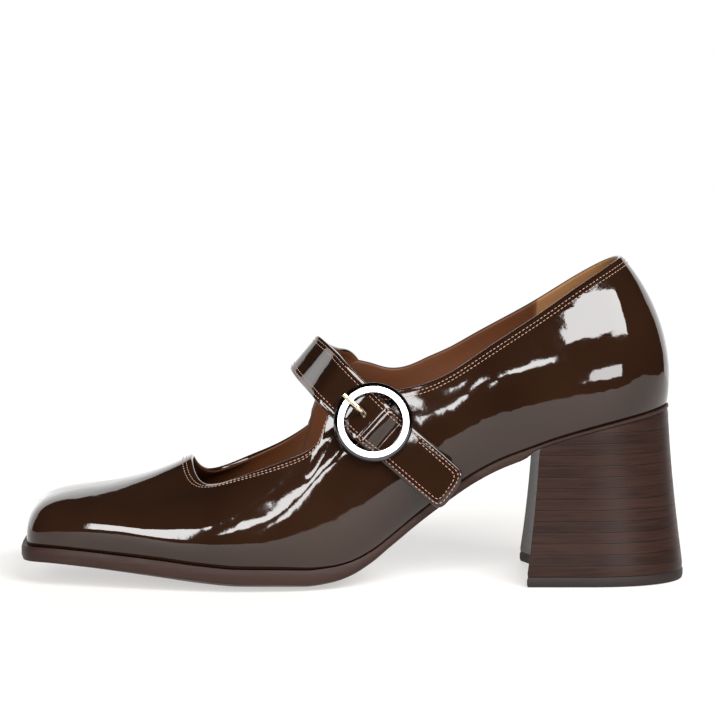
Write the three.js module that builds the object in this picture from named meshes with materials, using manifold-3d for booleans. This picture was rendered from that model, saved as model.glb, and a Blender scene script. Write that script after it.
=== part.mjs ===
import * as THREE from 'three'
import { mergeVertices } from 'three/addons/utils/BufferGeometryUtils.js'
import Module from 'manifold-3d'

const wasm = await Module()
wasm.setup()

// Driving sizes in millimetres: +X to the toe, +Y to the outer side, +Z up, floor at Z = 0
const length = 250
const ballWidth = 80
const instepHeight = 80
const heelRise = 62
const toeSpring = 8.4
const edgeRoll = 3
const wall = 2
const fitGap = 0.3
const seatGap = 0.5
const soleThickness = 5.5
const soleMargin = 2
const soleEdgeTaper = 0.6
const insoleThickness = 1.6
const insoleSideGap = 0.5
const topPieceThickness = 3.6
const heelHollow = 7
const heelSideHollow = 0.8
const strapThickness = 2.2
const strapLift = 0.6
const ringDiameter = 29
const ringBand = 3.1
const ringDepth = 2.2
const barDiameter = 2
const barReach = 9.7
const prongDiameter = 1.5
const prongClearance = 0.35
const rollFlatShare = 0.55

// Mesh counts around and across the pieces
const around = 88
const upWall = 10
const acrossSole = 8
const alongStrap = 52
const acrossStrap = 6

// Smooth curve through rows, closed when the period is given, as a cubic with even second derivatives
function curveThrough(at, values, period) {
  const n = at.length
  const step = at.map((a, i) => (i + 1 < n ? at[i + 1] : at[0] + (period || 0)) - a)
  const rows = at.map((a, i) => {
    const row = new Array(n + 1).fill(0)
    if (!period && (i === 0 || i === n - 1)) {
      row[i] = 1
      return row
    }
    const before = (i + n - 1) % n
    const after = (i + 1) % n
    row[before] += step[before]
    row[i] += 2 * (step[before] + step[i])
    row[after] += step[i]
    row[n] = 6 * ((values[after] - values[i]) / step[i] - (values[i] - values[before]) / step[before])
    return row
  })
  for (let i = 0; i < n; i++) {
    for (let j = i + 1; j < n; j++) {
      const share = rows[j][i] / rows[i][i]
      if (share !== 0) for (let k = i; k <= n; k++) rows[j][k] -= share * rows[i][k]
    }
  }
  const bend = new Array(n).fill(0)
  for (let i = n - 1; i >= 0; i--) {
    let rest = rows[i][n]
    for (let k = i + 1; k < n; k++) rest -= rows[i][k] * bend[k]
    bend[i] = rest / rows[i][i]
  }
  return (t) => {
    let u = t
    if (period) u = at[0] + ((((t - at[0]) % period) + period) % period)
    let i = 0
    while (i < n - 1 && u >= at[i + 1]) i++
    if (!period) i = Math.min(i, n - 2)
    const next = (i + 1) % n
    const h = step[i]
    const b = (u - at[i]) / h
    const a = 1 - b
    return a * values[i] + b * values[next] + ((a * a * a - a) * bend[i] + (b * b * b - b) * bend[next]) * h * h / 6
  }
}

// Curve through rows that never swings past them, for profiles with flat stretches
function steadyCurve(at, values) {
  const n = at.length
  const rise = at.slice(1).map((a, i) => (values[i + 1] - values[i]) / (a - at[i]))
  const slope = at.map((a, i) => {
    if (i === 0) return rise[0]
    if (i === n - 1) return rise[n - 2]
    return rise[i - 1] * rise[i] <= 0 ? 0 : 2 * rise[i - 1] * rise[i] / (rise[i - 1] + rise[i])
  })
  return (t) => {
    const u = Math.min(Math.max(t, at[0]), at[n - 1])
    let i = 0
    while (i < n - 2 && u >= at[i + 1]) i++
    const h = at[i + 1] - at[i]
    const s = (u - at[i]) / h
    const s2 = s * s
    const s3 = s2 * s
    return (2 * s3 - 3 * s2 + 1) * values[i] + (s3 - 2 * s2 + s) * h * slope[i]
      + (3 * s2 - 2 * s3) * values[i + 1] + (s3 - s2) * h * slope[i + 1]
  }
}

const columns = (names, rows) => rows.map((row) => Object.fromEntries(names.map((name, i) => [name, row[i]])))
const column = (rows, name, scale = 1) => rows.map((row) => row[name] * scale)

// Side profile of the sole: shares of length, heel rise, toe spring, sole thickness, edge roll, ball width
const soleLine = columns(['along', 'lift', 'spring', 'thick', 'roll', 'mid', 'half'], [
  [0.000, 0.985, 0.00, 0.26, 0.20, 0.000, 0.34],
  [0.100, 0.896, 0.00, 0.26, 0.20, 0.005, 0.34],
  [0.200, 0.785, 0.00, 0.26, 0.20, 0.015, 0.33],
  [0.226, 0.746, 0.00, 0.26, 0.22, 0.025, 0.32],
  [0.244, 0.717, 0.00, 0.60, 0.26, 0.032, 0.31],
  [0.280, 0.656, 0.00, 0.62, 0.35, 0.045, 0.29],
  [0.320, 0.565, 0.00, 0.62, 0.45, 0.050, 0.28],
  [0.360, 0.453, 0.00, 0.62, 0.50, 0.050, 0.29],
  [0.400, 0.331, 0.00, 0.62, 0.60, 0.050, 0.31],
  [0.440, 0.198, 0.00, 0.62, 0.75, 0.050, 0.34],
  [0.470, 0.105, 0.00, 0.70, 0.85, 0.045, 0.37],
  [0.500, 0.045, 0.00, 0.84, 0.95, 0.040, 0.41],
  [0.530, 0.015, 0.00, 0.95, 1.00, 0.035, 0.44],
  [0.570, 0.000, 0.00, 1.00, 1.00, 0.025, 0.47],
  [0.665, 0.000, 0.00, 1.00, 1.00, 0.000, 0.50],
  [0.720, 0.000, 0.12, 1.00, 0.95, -0.010, 0.49],
  [0.780, 0.000, 0.33, 1.00, 0.80, -0.025, 0.46],
  [0.840, 0.000, 0.55, 1.00, 0.65, -0.035, 0.43],
  [0.900, 0.000, 0.75, 1.00, 0.50, -0.040, 0.39],
  [0.960, 0.000, 0.92, 1.00, 0.40, -0.040, 0.36],
  [1.010, 0.000, 1.02, 1.00, 0.40, -0.040, 0.36]
])
const soleAt = column(soleLine, 'along', length)
const soleCurve = (name, scale) => steadyCurve(soleAt, column(soleLine, name, scale))
const liftOf = soleCurve('lift', heelRise)
const springOf = soleCurve('spring', toeSpring)
const thickOf = soleCurve('thick', soleThickness)
const rollOf = soleCurve('roll', edgeRoll)
const midOf = soleCurve('mid', ballWidth)
const halfOf = soleCurve('half', ballWidth)

const seatLine = (x) => liftOf(x) + springOf(x) + soleThickness
function soleTop(x, y) {
  const reach = Math.abs(y - midOf(x)) / halfOf(x)
  const over = Math.max(0, (reach - rollFlatShare) / (1 - rollFlatShare))
  return seatLine(x) + rollOf(x) * over * over
}

// Edge where the upper meets the sole, once round from the back over the outer side to the toe:
// station, share of length, share of ball width, and how far the sole stands out in shares of the margin
const feather = columns(['at', 'along', 'side', 'margin'], [
  [0.000, 0.026, 0.000, 0.3],
  [0.026, 0.042, 0.158, 0.3],
  [0.052, 0.086, 0.276, 0.3],
  [0.086, 0.160, 0.325, 0.2],
  [0.122, 0.240, 0.322, 0.1],
  [0.158, 0.320, 0.318, 0.1],
  [0.194, 0.400, 0.342, 0.1],
  [0.230, 0.480, 0.398, 0.2],
  [0.266, 0.560, 0.456, 0.8],
  [0.300, 0.636, 0.484, 1.0],
  [0.336, 0.716, 0.474, 1.0],
  [0.374, 0.800, 0.432, 1.0],
  [0.411, 0.880, 0.376, 1.0],
  [0.440, 0.944, 0.318, 1.0],
  [0.461, 0.976, 0.236, 1.0],
  [0.500, 0.986, -0.035, 1.0],
  [0.539, 0.976, -0.312, 1.0],
  [0.560, 0.944, -0.392, 1.0],
  [0.589, 0.880, -0.436, 1.0],
  [0.626, 0.800, -0.474, 1.0],
  [0.664, 0.716, -0.490, 1.0],
  [0.700, 0.636, -0.458, 0.9],
  [0.734, 0.560, -0.380, 0.6],
  [0.770, 0.480, -0.292, 0.3],
  [0.806, 0.400, -0.236, 0.1],
  [0.842, 0.320, -0.238, 0.1],
  [0.878, 0.240, -0.278, 0.1],
  [0.914, 0.160, -0.312, 0.2],
  [0.948, 0.086, -0.272, 0.3],
  [0.974, 0.042, -0.158, 0.3]
])

// Shape of the wall between that edge and the topline: two guide points a station,
// shares of length and ball width, heights above the sole in shares of the instep height
const walls = columns(['at', 'lowAlong', 'lowSide', 'lowUp', 'highAlong', 'highSide', 'highUp'], [
  [0.000, 0.013, 0.000, 0.225, 0.038, 0.000, 0.500],
  [0.026, 0.028, 0.225, 0.225, 0.050, 0.150, 0.500],
  [0.052, 0.078, 0.368, 0.230, 0.090, 0.275, 0.500],
  [0.086, 0.158, 0.412, 0.230, 0.162, 0.345, 0.470],
  [0.122, 0.240, 0.415, 0.210, 0.240, 0.380, 0.430],
  [0.158, 0.320, 0.425, 0.180, 0.322, 0.405, 0.420],
  [0.194, 0.400, 0.452, 0.160, 0.400, 0.420, 0.430],
  [0.230, 0.482, 0.494, 0.150, 0.470, 0.450, 0.440],
  [0.266, 0.562, 0.532, 0.150, 0.540, 0.490, 0.380],
  [0.300, 0.640, 0.552, 0.150, 0.610, 0.500, 0.310],
  [0.336, 0.722, 0.548, 0.170, 0.690, 0.470, 0.270],
  [0.374, 0.812, 0.505, 0.210, 0.775, 0.400, 0.240],
  [0.411, 0.896, 0.435, 0.260, 0.840, 0.290, 0.215],
  [0.440, 0.958, 0.350, 0.300, 0.872, 0.180, 0.190],
  [0.461, 0.983, 0.240, 0.330, 0.884, 0.095, 0.180],
  [0.500, 0.989, -0.035, 0.350, 0.890, -0.032, 0.175],
  [0.539, 0.983, -0.312, 0.330, 0.884, -0.160, 0.180],
  [0.560, 0.958, -0.420, 0.300, 0.872, -0.250, 0.190],
  [0.589, 0.896, -0.490, 0.260, 0.840, -0.355, 0.215],
  [0.626, 0.812, -0.540, 0.210, 0.775, -0.450, 0.240],
  [0.664, 0.722, -0.560, 0.170, 0.690, -0.500, 0.270],
  [0.700, 0.640, -0.530, 0.155, 0.610, -0.500, 0.310],
  [0.734, 0.562, -0.470, 0.155, 0.545, -0.465, 0.390],
  [0.770, 0.482, -0.410, 0.160, 0.465, -0.420, 0.440],
  [0.806, 0.400, -0.372, 0.180, 0.390, -0.400, 0.430],
  [0.842, 0.320, -0.370, 0.190, 0.318, -0.390, 0.420],
  [0.878, 0.240, -0.385, 0.210, 0.240, -0.375, 0.430],
  [0.914, 0.158, -0.402, 0.230, 0.162, -0.342, 0.470],
  [0.948, 0.078, -0.364, 0.230, 0.090, -0.272, 0.500],
  [0.974, 0.028, -0.225, 0.225, 0.050, -0.150, 0.500]
])

// Topline: collar, outer ear, throat, inner strap root and collar again, in the same shares
const topline = columns(['at', 'along', 'side', 'up'], [
  [0.000, 0.0940, 0.000, 0.735],
  [0.022, 0.1020, 0.106, 0.730],
  [0.045, 0.1260, 0.188, 0.708],
  [0.070, 0.1640, 0.241, 0.668],
  [0.105, 0.2240, 0.288, 0.604],
  [0.150, 0.3120, 0.338, 0.556],
  [0.175, 0.3540, 0.356, 0.560],
  [0.195, 0.3880, 0.368, 0.590],
  [0.212, 0.4120, 0.376, 0.630],
  [0.230, 0.4400, 0.382, 0.690],
  [0.246, 0.4700, 0.386, 0.765],
  [0.258, 0.5000, 0.384, 0.800],
  [0.267, 0.5220, 0.384, 0.778],
  [0.274, 0.5350, 0.392, 0.725],
  [0.281, 0.5415, 0.404, 0.660],
  [0.290, 0.5520, 0.416, 0.600],
  [0.306, 0.5800, 0.423, 0.548],
  [0.325, 0.6160, 0.412, 0.505],
  [0.350, 0.6560, 0.378, 0.458],
  [0.378, 0.6940, 0.325, 0.408],
  [0.403, 0.7200, 0.258, 0.390],
  [0.428, 0.7350, 0.170, 0.415],
  [0.458, 0.7420, 0.080, 0.455],
  [0.500, 0.7440, -0.030, 0.470],
  [0.542, 0.7420, -0.140, 0.455],
  [0.572, 0.7350, -0.225, 0.410],
  [0.597, 0.7190, -0.310, 0.378],
  [0.622, 0.6920, -0.368, 0.395],
  [0.650, 0.6560, -0.410, 0.440],
  [0.675, 0.6160, -0.430, 0.490],
  [0.692, 0.5840, -0.434, 0.545],
  [0.704, 0.5600, -0.420, 0.605],
  [0.713, 0.5500, -0.398, 0.665],
  [0.7195, 0.5480, -0.376, 0.718],
  [0.724, 0.5400, -0.364, 0.757],
  [0.742, 0.4960, -0.334, 0.872],
  [0.748, 0.4860, -0.336, 0.870],
  [0.756, 0.4720, -0.346, 0.800],
  [0.768, 0.4480, -0.358, 0.705],
  [0.784, 0.4180, -0.366, 0.632],
  [0.805, 0.3860, -0.366, 0.585],
  [0.827, 0.3520, -0.356, 0.558],
  [0.852, 0.3100, -0.338, 0.556],
  [0.895, 0.2240, -0.288, 0.604],
  [0.930, 0.1640, -0.241, 0.668],
  [0.955, 0.1260, -0.188, 0.708],
  [0.978, 0.1020, -0.106, 0.730]
])

const closed = (rows, name, scale) => curveThrough(column(rows, 'at'), column(rows, name, scale), 1)
const featherX = closed(feather, 'along', length)
const featherY = closed(feather, 'side', ballWidth)
const marginOf = closed(feather, 'margin', soleMargin)

function closedPath(rows, along, side, up) {
  const x = column(rows, along, length)
  const y = column(rows, side, ballWidth)
  const z = rows.map((row, i) => seatLine(x[i]) + row[up] * instepHeight)
  const at = column(rows, 'at')
  const curves = [x, y, z].map((values) => curveThrough(at, values, 1))
  return (t) => curves.map((curve) => curve(t))
}
const lowGuide = closedPath(walls, 'lowAlong', 'lowSide', 'lowUp')
const highGuide = closedPath(walls, 'highAlong', 'highSide', 'highUp')
const toplinePath = closedPath(topline, 'along', 'side', 'up')

function featherPoint(t) {
  const x = featherX(t)
  const y = featherY(t)
  return [x, y, soleTop(x, y) + fitGap]
}

// Outer face of the upper: t runs once round, w from the sole edge (0) to the topline (1)
function upperFace(t, w) {
  const v = 1 - w
  const points = [featherPoint(t), lowGuide(t), highGuide(t), toplinePath(t)]
  const weights = [v * v * v, 3 * v * v * w, 3 * v * w * w, w * w * w]
  return new THREE.Vector3(...[0, 1, 2].map((axis) => points.reduce((sum, p, i) => sum + p[axis] * weights[i], 0)))
}

const probe = 0.002
function outward(face, t, w) {
  const a = face(t + probe, w).sub(face(t - probe, w))
  const low = Math.max(w - probe, 0)
  const high = Math.min(w + probe, 1)
  const b = face(t, high).sub(face(t, low))
  return b.cross(a).normalize()
}

// Stations spread evenly by the length of the sole edge and topline together
function evenStations(count) {
  const fine = 2400
  const reach = [0]
  for (let i = 1; i <= fine; i++) {
    const low = upperFace(i / fine, 0).distanceTo(upperFace((i - 1) / fine, 0))
    const high = upperFace(i / fine, 1).distanceTo(upperFace((i - 1) / fine, 1))
    reach.push(reach[i - 1] + low + high)
  }
  const stations = []
  let i = 0
  for (let k = 0; k < count; k++) {
    const goal = (k / count) * reach[fine]
    while (reach[i + 1] < goal) i++
    stations.push((i + (goal - reach[i]) / (reach[i + 1] - reach[i])) / fine)
  }
  return stations
}

function meshFrom(points, faces) {
  const geometry = new THREE.BufferGeometry()
  geometry.setAttribute('position', new THREE.Float32BufferAttribute(points.flatMap((p) => [p.x, p.y, p.z]), 3))
  geometry.setIndex(faces.flat())
  return geometry
}

// Closed skin over rings of equal count; the rings join end to end when looped, otherwise both ends are capped flat
function skin(rings, looped) {
  const count = rings[0].length
  const points = rings.flat()
  const faces = []
  const last = looped ? rings.length : rings.length - 1
  for (let r = 0; r < last; r++) {
    const low = r * count
    const high = ((r + 1) % rings.length) * count
    for (let i = 0; i < count; i++) {
      const j = (i + 1) % count
      faces.push([low + i, low + j, high + j], [low + i, high + j, high + i])
    }
  }
  if (!looped) {
    const ends = [[0, -1], [(rings.length - 1) * count, 1]]
    for (const [start, turn] of ends) {
      const middle = new THREE.Vector3()
      for (let i = 0; i < count; i++) middle.addScaledVector(points[start + i], 1 / count)
      points.push(middle)
      const hub = points.length - 1
      for (let i = 0; i < count; i++) {
        const j = (i + 1) % count
        faces.push(turn > 0 ? [start + i, start + j, hub] : [start + j, start + i, hub])
      }
    }
  }
  return meshFrom(points, faces)
}

// Upper: outer face, rim, inner face and rim again
const stations = evenStations(around)
function makeUpper() {
  const rings = []
  const levels = Array.from({ length: upWall + 1 }, (_, k) => k / upWall)
  for (const w of levels) rings.push(stations.map((t) => upperFace(t, w)))
  for (const w of levels.slice().reverse()) {
    rings.push(stations.map((t) => upperFace(t, w).addScaledVector(outward(upperFace, t, w), -wall)))
  }
  return skin(rings.reverse(), true)
}

// Plan outline moved out from the feather edge by a distance
function outline(t, out) {
  const dx = featherX(t + probe) - featherX(t - probe)
  const dy = featherY(t + probe) - featherY(t - probe)
  const size = Math.hypot(dx, dy)
  const x = featherX(t) - out * dy / size
  const y = featherY(t) + out * dx / size
  return [x, y]
}

// Plate between two height functions inside a plan outline, built on lines straight across
function plate(edge, topOf, bottomOf, taper) {
  const half = around / 2
  const points = []
  const faces = []
  const layers = [topOf, bottomOf].map((heightOf, layer) => {
    const rows = []
    for (let i = 0; i <= half; i++) {
      const t = i / around
      const [ox, oy] = edge(t, layer ? -taper : 0)
      const [ix, iy] = edge(1 - t, layer ? -taper : 0)
      const steps = i === 0 || i === half ? 0 : acrossSole
      const row = []
      for (let k = 0; k <= steps; k++) {
        const s = steps ? k / steps : 0
        const x = ox + (ix - ox) * s
        const y = oy + (iy - oy) * s
        row.push(points.length)
        points.push(new THREE.Vector3(x, y, heightOf(x, y)))
      }
      rows.push(row)
    }
    return rows
  })
  layers.forEach((rows, layer) => {
    const turn = (a, b, c) => faces.push(layer ? [a, b, c] : [a, c, b])
    for (let i = 0; i < half; i++) {
      const a = rows[i]
      const b = rows[i + 1]
      for (let k = 0; k < acrossSole; k++) {
        if (a.length === 1) turn(a[0], b[k], b[k + 1])
        else if (b.length === 1) turn(a[k + 1], a[k], b[0])
        else {
          turn(a[k], b[k], b[k + 1])
          turn(a[k], b[k + 1], a[k + 1])
        }
      }
    }
  })
  const rim = (rows) => [...rows.map((row) => row[0]), ...rows.slice(1, -1).reverse().map((row) => row[row.length - 1])]
  const upperRim = rim(layers[0])
  const lowerRim = rim(layers[1])
  upperRim.forEach((a, i) => {
    const j = (i + 1) % upperRim.length
    faces.push([a, lowerRim[j], lowerRim[i]], [a, upperRim[j], lowerRim[j]])
  })
  return meshFrom(points, faces)
}

const soleBottom = (x, y) => soleTop(x, y) - thickOf(x)
const makeOutsole = () => plate((t, out) => outline(t, marginOf(t) + out), soleTop, soleBottom, soleEdgeTaper)
const insoleInset = wall + insoleSideGap
const makeInsole = () => plate((t, out) => outline(t, out - insoleInset),
  (x, y) => soleTop(x, y) + fitGap + insoleThickness, (x, y) => soleTop(x, y) + fitGap, 0)

// Heel from the seat (0) to the bottom (1): back and front edges along the shoe, half width, share of the depth
// that is rounded, and squareness of the rounding
const heelRows = columns(['down', 'back', 'front', 'half', 'rounded', 'square'], [
  [0.00, 0.0245, 0.2220, 0.327, 0.70, 2.00],
  [0.25, 0.0205, 0.2250, 0.331, 0.68, 2.06],
  [0.50, 0.0150, 0.2290, 0.338, 0.66, 2.14],
  [0.75, 0.0080, 0.2340, 0.347, 0.64, 2.22],
  [1.00, 0.0000, 0.2400, 0.358, 0.62, 2.30]
])
const heelDown = column(heelRows, 'down')
const heelCurve = (name, scale) => curveThrough(heelDown, column(heelRows, name, scale))
const heelBack = heelCurve('back', length)
const heelFront = heelCurve('front', length)
const heelHalf = heelCurve('half', ballWidth)
const heelRounded = heelCurve('rounded')
const heelSquare = heelCurve('square')
const heelSide = 16
const heelFace = 10
function heelLoop(down) {
  const back = heelBack(down)
  const front = heelFront(down)
  const half = heelHalf(down) - heelSideHollow * Math.sin(Math.PI * down)
  const bend = back + (front - back) * heelRounded(down)
  const power = 2 / heelSquare(down)
  const loop = []
  for (let i = 0; i <= heelSide * 2; i++) {
    const angle = -Math.PI / 2 + Math.PI * i / (heelSide * 2)
    const cos = Math.cos(angle)
    const sin = Math.sin(angle)
    const x = bend - (bend - back) * Math.abs(cos) ** power
    const y = half * Math.sign(sin) * Math.abs(sin) ** power
    loop.push([x, y])
  }
  for (let k = 0; k <= heelFace; k++) {
    const s = k / heelFace
    const y = half * (1 - 2 * s)
    loop.push([front - heelHollow * (1 - (1 - 2 * s) ** 2), y])
  }
  return loop.reverse()
}
function makeHeel() {
  const levels = 10
  const rings = []
  const floor = topPieceThickness + fitGap
  for (let k = 0; k <= levels; k++) {
    const down = 1 - k / levels
    rings.push(heelLoop(down).map(([x, y]) => {
      const seat = soleBottom(x, y) - seatGap
      return new THREE.Vector3(x, y, floor + (seat - floor) * (1 - down))
    }))
  }
  return skin(rings, false)
}
function makeTopPiece() {
  return skin([0, topPieceThickness].map((z) => heelLoop(1).map(([x, y]) => new THREE.Vector3(x, y, z))), false)
}

// Strap edges from the inner seam over the instep to the tail: front and back edge points in shares of length,
// ball width and instep height above the sole, and how far the row lies on the outer quarter
const strapRows = columns(['at', 'frontAlong', 'frontSide', 'frontUp', 'backAlong', 'backSide', 'backUp', 'lies'], [
  [0.00, 0.5430, -0.356, 0.778, 0.4990, -0.326, 0.890, 0.0],
  [0.09, 0.5610, -0.268, 0.829, 0.5180, -0.238, 0.960, 0.0],
  [0.18, 0.5800, -0.160, 0.872, 0.5370, -0.135, 1.023, 0.0],
  [0.28, 0.5888, -0.020, 0.894, 0.5464, -0.010, 1.051, 0.0],
  [0.37, 0.5752, 0.135, 0.856, 0.5316, 0.128, 1.008, 0.0],
  [0.46, 0.5584, 0.300, 0.806, 0.5144, 0.285, 0.950, 0.3],
  [0.53, 0.5440, 0.395, 0.762, 0.5000, 0.375, 0.896, 1.0],
  [0.64, 0.5020, 0.450, 0.622, 0.4580, 0.400, 0.714, 1.0],
  [0.76, 0.4600, 0.460, 0.441, 0.4180, 0.420, 0.501, 1.0],
  [0.88, 0.4180, 0.460, 0.221, 0.3780, 0.430, 0.294, 1.0],
  [1.00, 0.3760, 0.455, 0.005, 0.3380, 0.430, 0.093, 1.0]
])
const strapAt = column(strapRows, 'at')
function edgePath(along, side, up) {
  const x = column(strapRows, along, length)
  const y = column(strapRows, side, ballWidth)
  const z = strapRows.map((row, i) => seatLine(x[i]) + row[up] * instepHeight)
  const curves = [x, y, z].map((values) => curveThrough(strapAt, values))
  return (t) => new THREE.Vector3(...curves.map((curve) => curve(t)))
}
const strapFront = edgePath('frontAlong', 'frontSide', 'frontUp')
const strapBack = edgePath('backAlong', 'backSide', 'backUp')
const strapLies = steadyCurve(strapAt, column(strapRows, 'lies'))

// Station and height on the outer quarter that project sideways onto a point given by x and z
const quarterStart = [0.12, 0.33]
const quarterFloor = 0.16
const quarterCeiling = 1.25
const steepestSide = 0.55
function quarterPoint(x, z) {
  let t = quarterStart[0]
  let w = 0.5
  let best = Infinity
  for (let i = 0; i <= 14; i++) {
    for (let k = 0; k <= 8; k++) {
      const ti = quarterStart[0] + (quarterStart[1] - quarterStart[0]) * i / 14
      const p = upperFace(ti, k / 8)
      const far = Math.hypot(p.x - x, p.z - z)
      if (far < best) [best, t, w] = [far, ti, k / 8]
    }
  }
  for (let round = 0; round < 12; round++) {
    const p = upperFace(t, w)
    const pt = upperFace(t + probe, w).sub(p).divideScalar(probe)
    const pw = upperFace(t, w + probe).sub(p).divideScalar(probe)
    const det = pt.x * pw.z - pw.x * pt.z
    t += 0.8 * ((x - p.x) * pw.z - pw.x * (z - p.z)) / det
    w += 0.8 * (pt.x * (z - p.z) - (x - p.x) * pt.z) / det
    w = Math.min(Math.max(w, quarterFloor), quarterCeiling)
    t = Math.min(Math.max(t, quarterStart[0]), quarterStart[1])
  }
  return { point: upperFace(t, w), away: outward(upperFace, t, Math.min(w, 1)) }
}

// Buckle frame: centre on the outer quarter, axes along the strap, across it and away from the shoe
const buckleAlong = 0.468
const buckleUp = 0.622
const buckleX = buckleAlong * length
const buckleZ = seatLine(buckleX) + buckleUp * instepHeight
const buckleSpan = 9
const buckleBase = quarterPoint(buckleX, buckleZ).point
const buckleAway = (() => {
  const at = (dx, dz) => quarterPoint(buckleX + dx, buckleZ + dz).point
  const a = at(buckleSpan, 0).sub(at(-buckleSpan, 0))
  const b = at(0, buckleSpan).sub(at(0, -buckleSpan))
  return b.cross(a).normalize()
})()
const strapHeading = 0.62
const buckleAlongStrap = strapFront(strapHeading).sub(strapFront(strapHeading + 0.05)).normalize()
buckleAlongStrap.addScaledVector(buckleAway, -buckleAlongStrap.dot(buckleAway)).normalize()
const buckleAcross = new THREE.Vector3().crossVectors(buckleAway, buckleAlongStrap).normalize()
const ringHeight = 2 * strapLift + strapThickness + ringDepth / 2 + fitGap
const barHeight = strapLift + barDiameter / 2
const buckleBulge = barHeight + barDiameter / 2 + fitGap - strapLift
const bulgeReach = 8.5

function strapMiddle(t, v) {
  const p = strapFront(t).lerp(strapBack(t), (v + 1) / 2)
  const lies = strapLies(t)
  if (lies > 0) {
    const q = quarterPoint(p.x, p.z)
    const away = p.clone().sub(buckleBase)
    const along = away.dot(buckleAlongStrap) / bulgeReach
    const bulge = Math.abs(along) < 1 ? buckleBulge * (0.5 + 0.5 * Math.cos(Math.PI * along)) : 0
    const out = q.point.y + (strapLift + strapThickness / 2 + bulge) / Math.max(q.away.y, steepestSide)
    p.y = p.y * (1 - lies) + out * lies
  }
  return p
}
function makeStrap() {
  const rings = []
  for (let i = 0; i <= alongStrap; i++) {
    const t = i / alongStrap
    const normal = (v) => {
      const a = strapMiddle(Math.min(t + probe, 1), v).sub(strapMiddle(Math.max(t - probe, 0), v))
      const b = strapMiddle(t, v + 0.02).sub(strapMiddle(t, v - 0.02))
      return a.cross(b).normalize()
    }
    const faceOf = (side) => Array.from({ length: acrossStrap + 1 }, (_, k) => {
      const v = -1 + 2 * k / acrossStrap
      return strapMiddle(t, v).addScaledVector(normal(v), side * strapThickness / 2)
    })
    rings.push([...faceOf(1), ...faceOf(-1).reverse()])
  }
  return skin(rings.reverse(), false)
}

// Turning between kernel solids and meshes
function toSolid(geometry) {
  const bare = geometry.clone()
  bare.deleteAttribute('normal')
  bare.deleteAttribute('uv')
  const merged = mergeVertices(bare, 1e-4)
  return new wasm.Manifold(new wasm.Mesh({
    numProp: 3,
    vertProperties: Float32Array.from(merged.attributes.position.array),
    triVerts: Uint32Array.from(merged.index.array)
  }))
}
function toGeometry(solid) {
  const mesh = solid.getMesh()
  const geometry = new THREE.BufferGeometry()
  geometry.setAttribute('position', new THREE.Float32BufferAttribute(mesh.vertProperties, 3))
  geometry.setIndex(Array.from(mesh.triVerts))
  return geometry
}

const atBuckle = (along, across, away) => buckleBase.clone()
  .addScaledVector(buckleAlongStrap, along)
  .addScaledVector(buckleAcross, across)
  .addScaledVector(buckleAway, away)

// Tube through points, round section
function tube(points, radius, steps, sides) {
  const path = new THREE.CatmullRomCurve3(points)
  const shape = new THREE.Shape()
  shape.absarc(0, 0, radius, 0, Math.PI * 2, false)
  return new THREE.ExtrudeGeometry(shape, { steps, curveSegments: sides, bevelEnabled: false, extrudePath: path })
}

const ringSegments = 48
function makeRing() {
  const outer = ringDiameter / 2
  const inner = outer - ringBand
  const soft = ringDepth * 0.28
  const section = [
    [inner, -ringDepth / 2], [outer - soft, -ringDepth / 2], [outer, -ringDepth / 2 + soft],
    [outer, ringDepth / 2 - soft], [outer - soft, ringDepth / 2], [inner + soft, ringDepth / 2], [inner, ringDepth / 2 - soft]
  ].reverse()
  const rings = []
  for (let i = 0; i < ringSegments; i++) {
    const angle = 2 * Math.PI * i / ringSegments
    rings.push(section.map(([r, h]) => atBuckle(r * Math.cos(angle), r * Math.sin(angle), ringHeight + h)))
  }
  const ring = toSolid(skin(rings, true))
  const reach = inner + ringBand / 2
  const sink = [
    atBuckle(0, -reach, ringHeight - 0.1), atBuckle(0, -barReach, barHeight), atBuckle(0, 0, barHeight),
    atBuckle(0, barReach, barHeight), atBuckle(0, reach, ringHeight - 0.1)
  ]
  const bar = toSolid(tube(sink, barDiameter / 2, 12, 8))
  return toGeometry(ring.add(bar))
}

// Prong from beside the bar, out through the strap and onto the ring
function prongPath() {
  const r = prongDiameter / 2
  const rest = ringHeight + ringDepth / 2 + fitGap + r
  return [
    atBuckle(barDiameter / 2 + fitGap + r, 0, barHeight - 0.2),
    atBuckle(4.6, 0, barHeight + strapThickness * 0.6),
    atBuckle(7.5, 0, rest - 0.4),
    atBuckle(ringDiameter / 2 - ringBand, 0, rest),
    atBuckle(ringDiameter / 2 + 0.4, 0, rest)
  ]
}
const makeProng = () => tube(prongPath(), prongDiameter / 2, 16, 8)

const shoe = new THREE.Group()
shoe.name = 'mary_jane_left'
function addPiece(name, geometry, color, roughness, metalness) {
  geometry.computeVertexNormals()
  const piece = new THREE.Mesh(geometry, new THREE.MeshStandardMaterial({ color, roughness, metalness }))
  piece.name = name
  shoe.add(piece)
}

const strapCut = toSolid(tube(prongPath(), prongDiameter / 2 + prongClearance, 12, 8))
addPiece('upper', makeUpper(), 0x2e1a12, 0.12, 0)
addPiece('outsole', makeOutsole(), 0x3b2a22, 0.6, 0)
addPiece('insole', makeInsole(), 0xa5622f, 0.7, 0)
addPiece('heel_block', makeHeel(), 0x3a1d14, 0.45, 0)
addPiece('top_piece', makeTopPiece(), 0x2a2422, 0.85, 0)
addPiece('strap', toGeometry(toSolid(makeStrap()).subtract(strapCut)), 0x2e1a12, 0.12, 0)
addPiece('buckle_ring', makeRing(), 0xd8d6d2, 0.2, 1)
addPiece('buckle_prong', makeProng(), 0xd9c08a, 0.25, 1)

// Origin at the middle of the box round the shoe, on the floor
const box = new THREE.Box3().setFromObject(shoe)
const middle = box.getCenter(new THREE.Vector3())
for (const piece of shoe.children) piece.geometry.translate(-middle.x, -middle.y, -box.min.z)

export default shoe
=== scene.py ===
import bpy
import math
import numpy as np
from mathutils import Matrix, Vector


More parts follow.
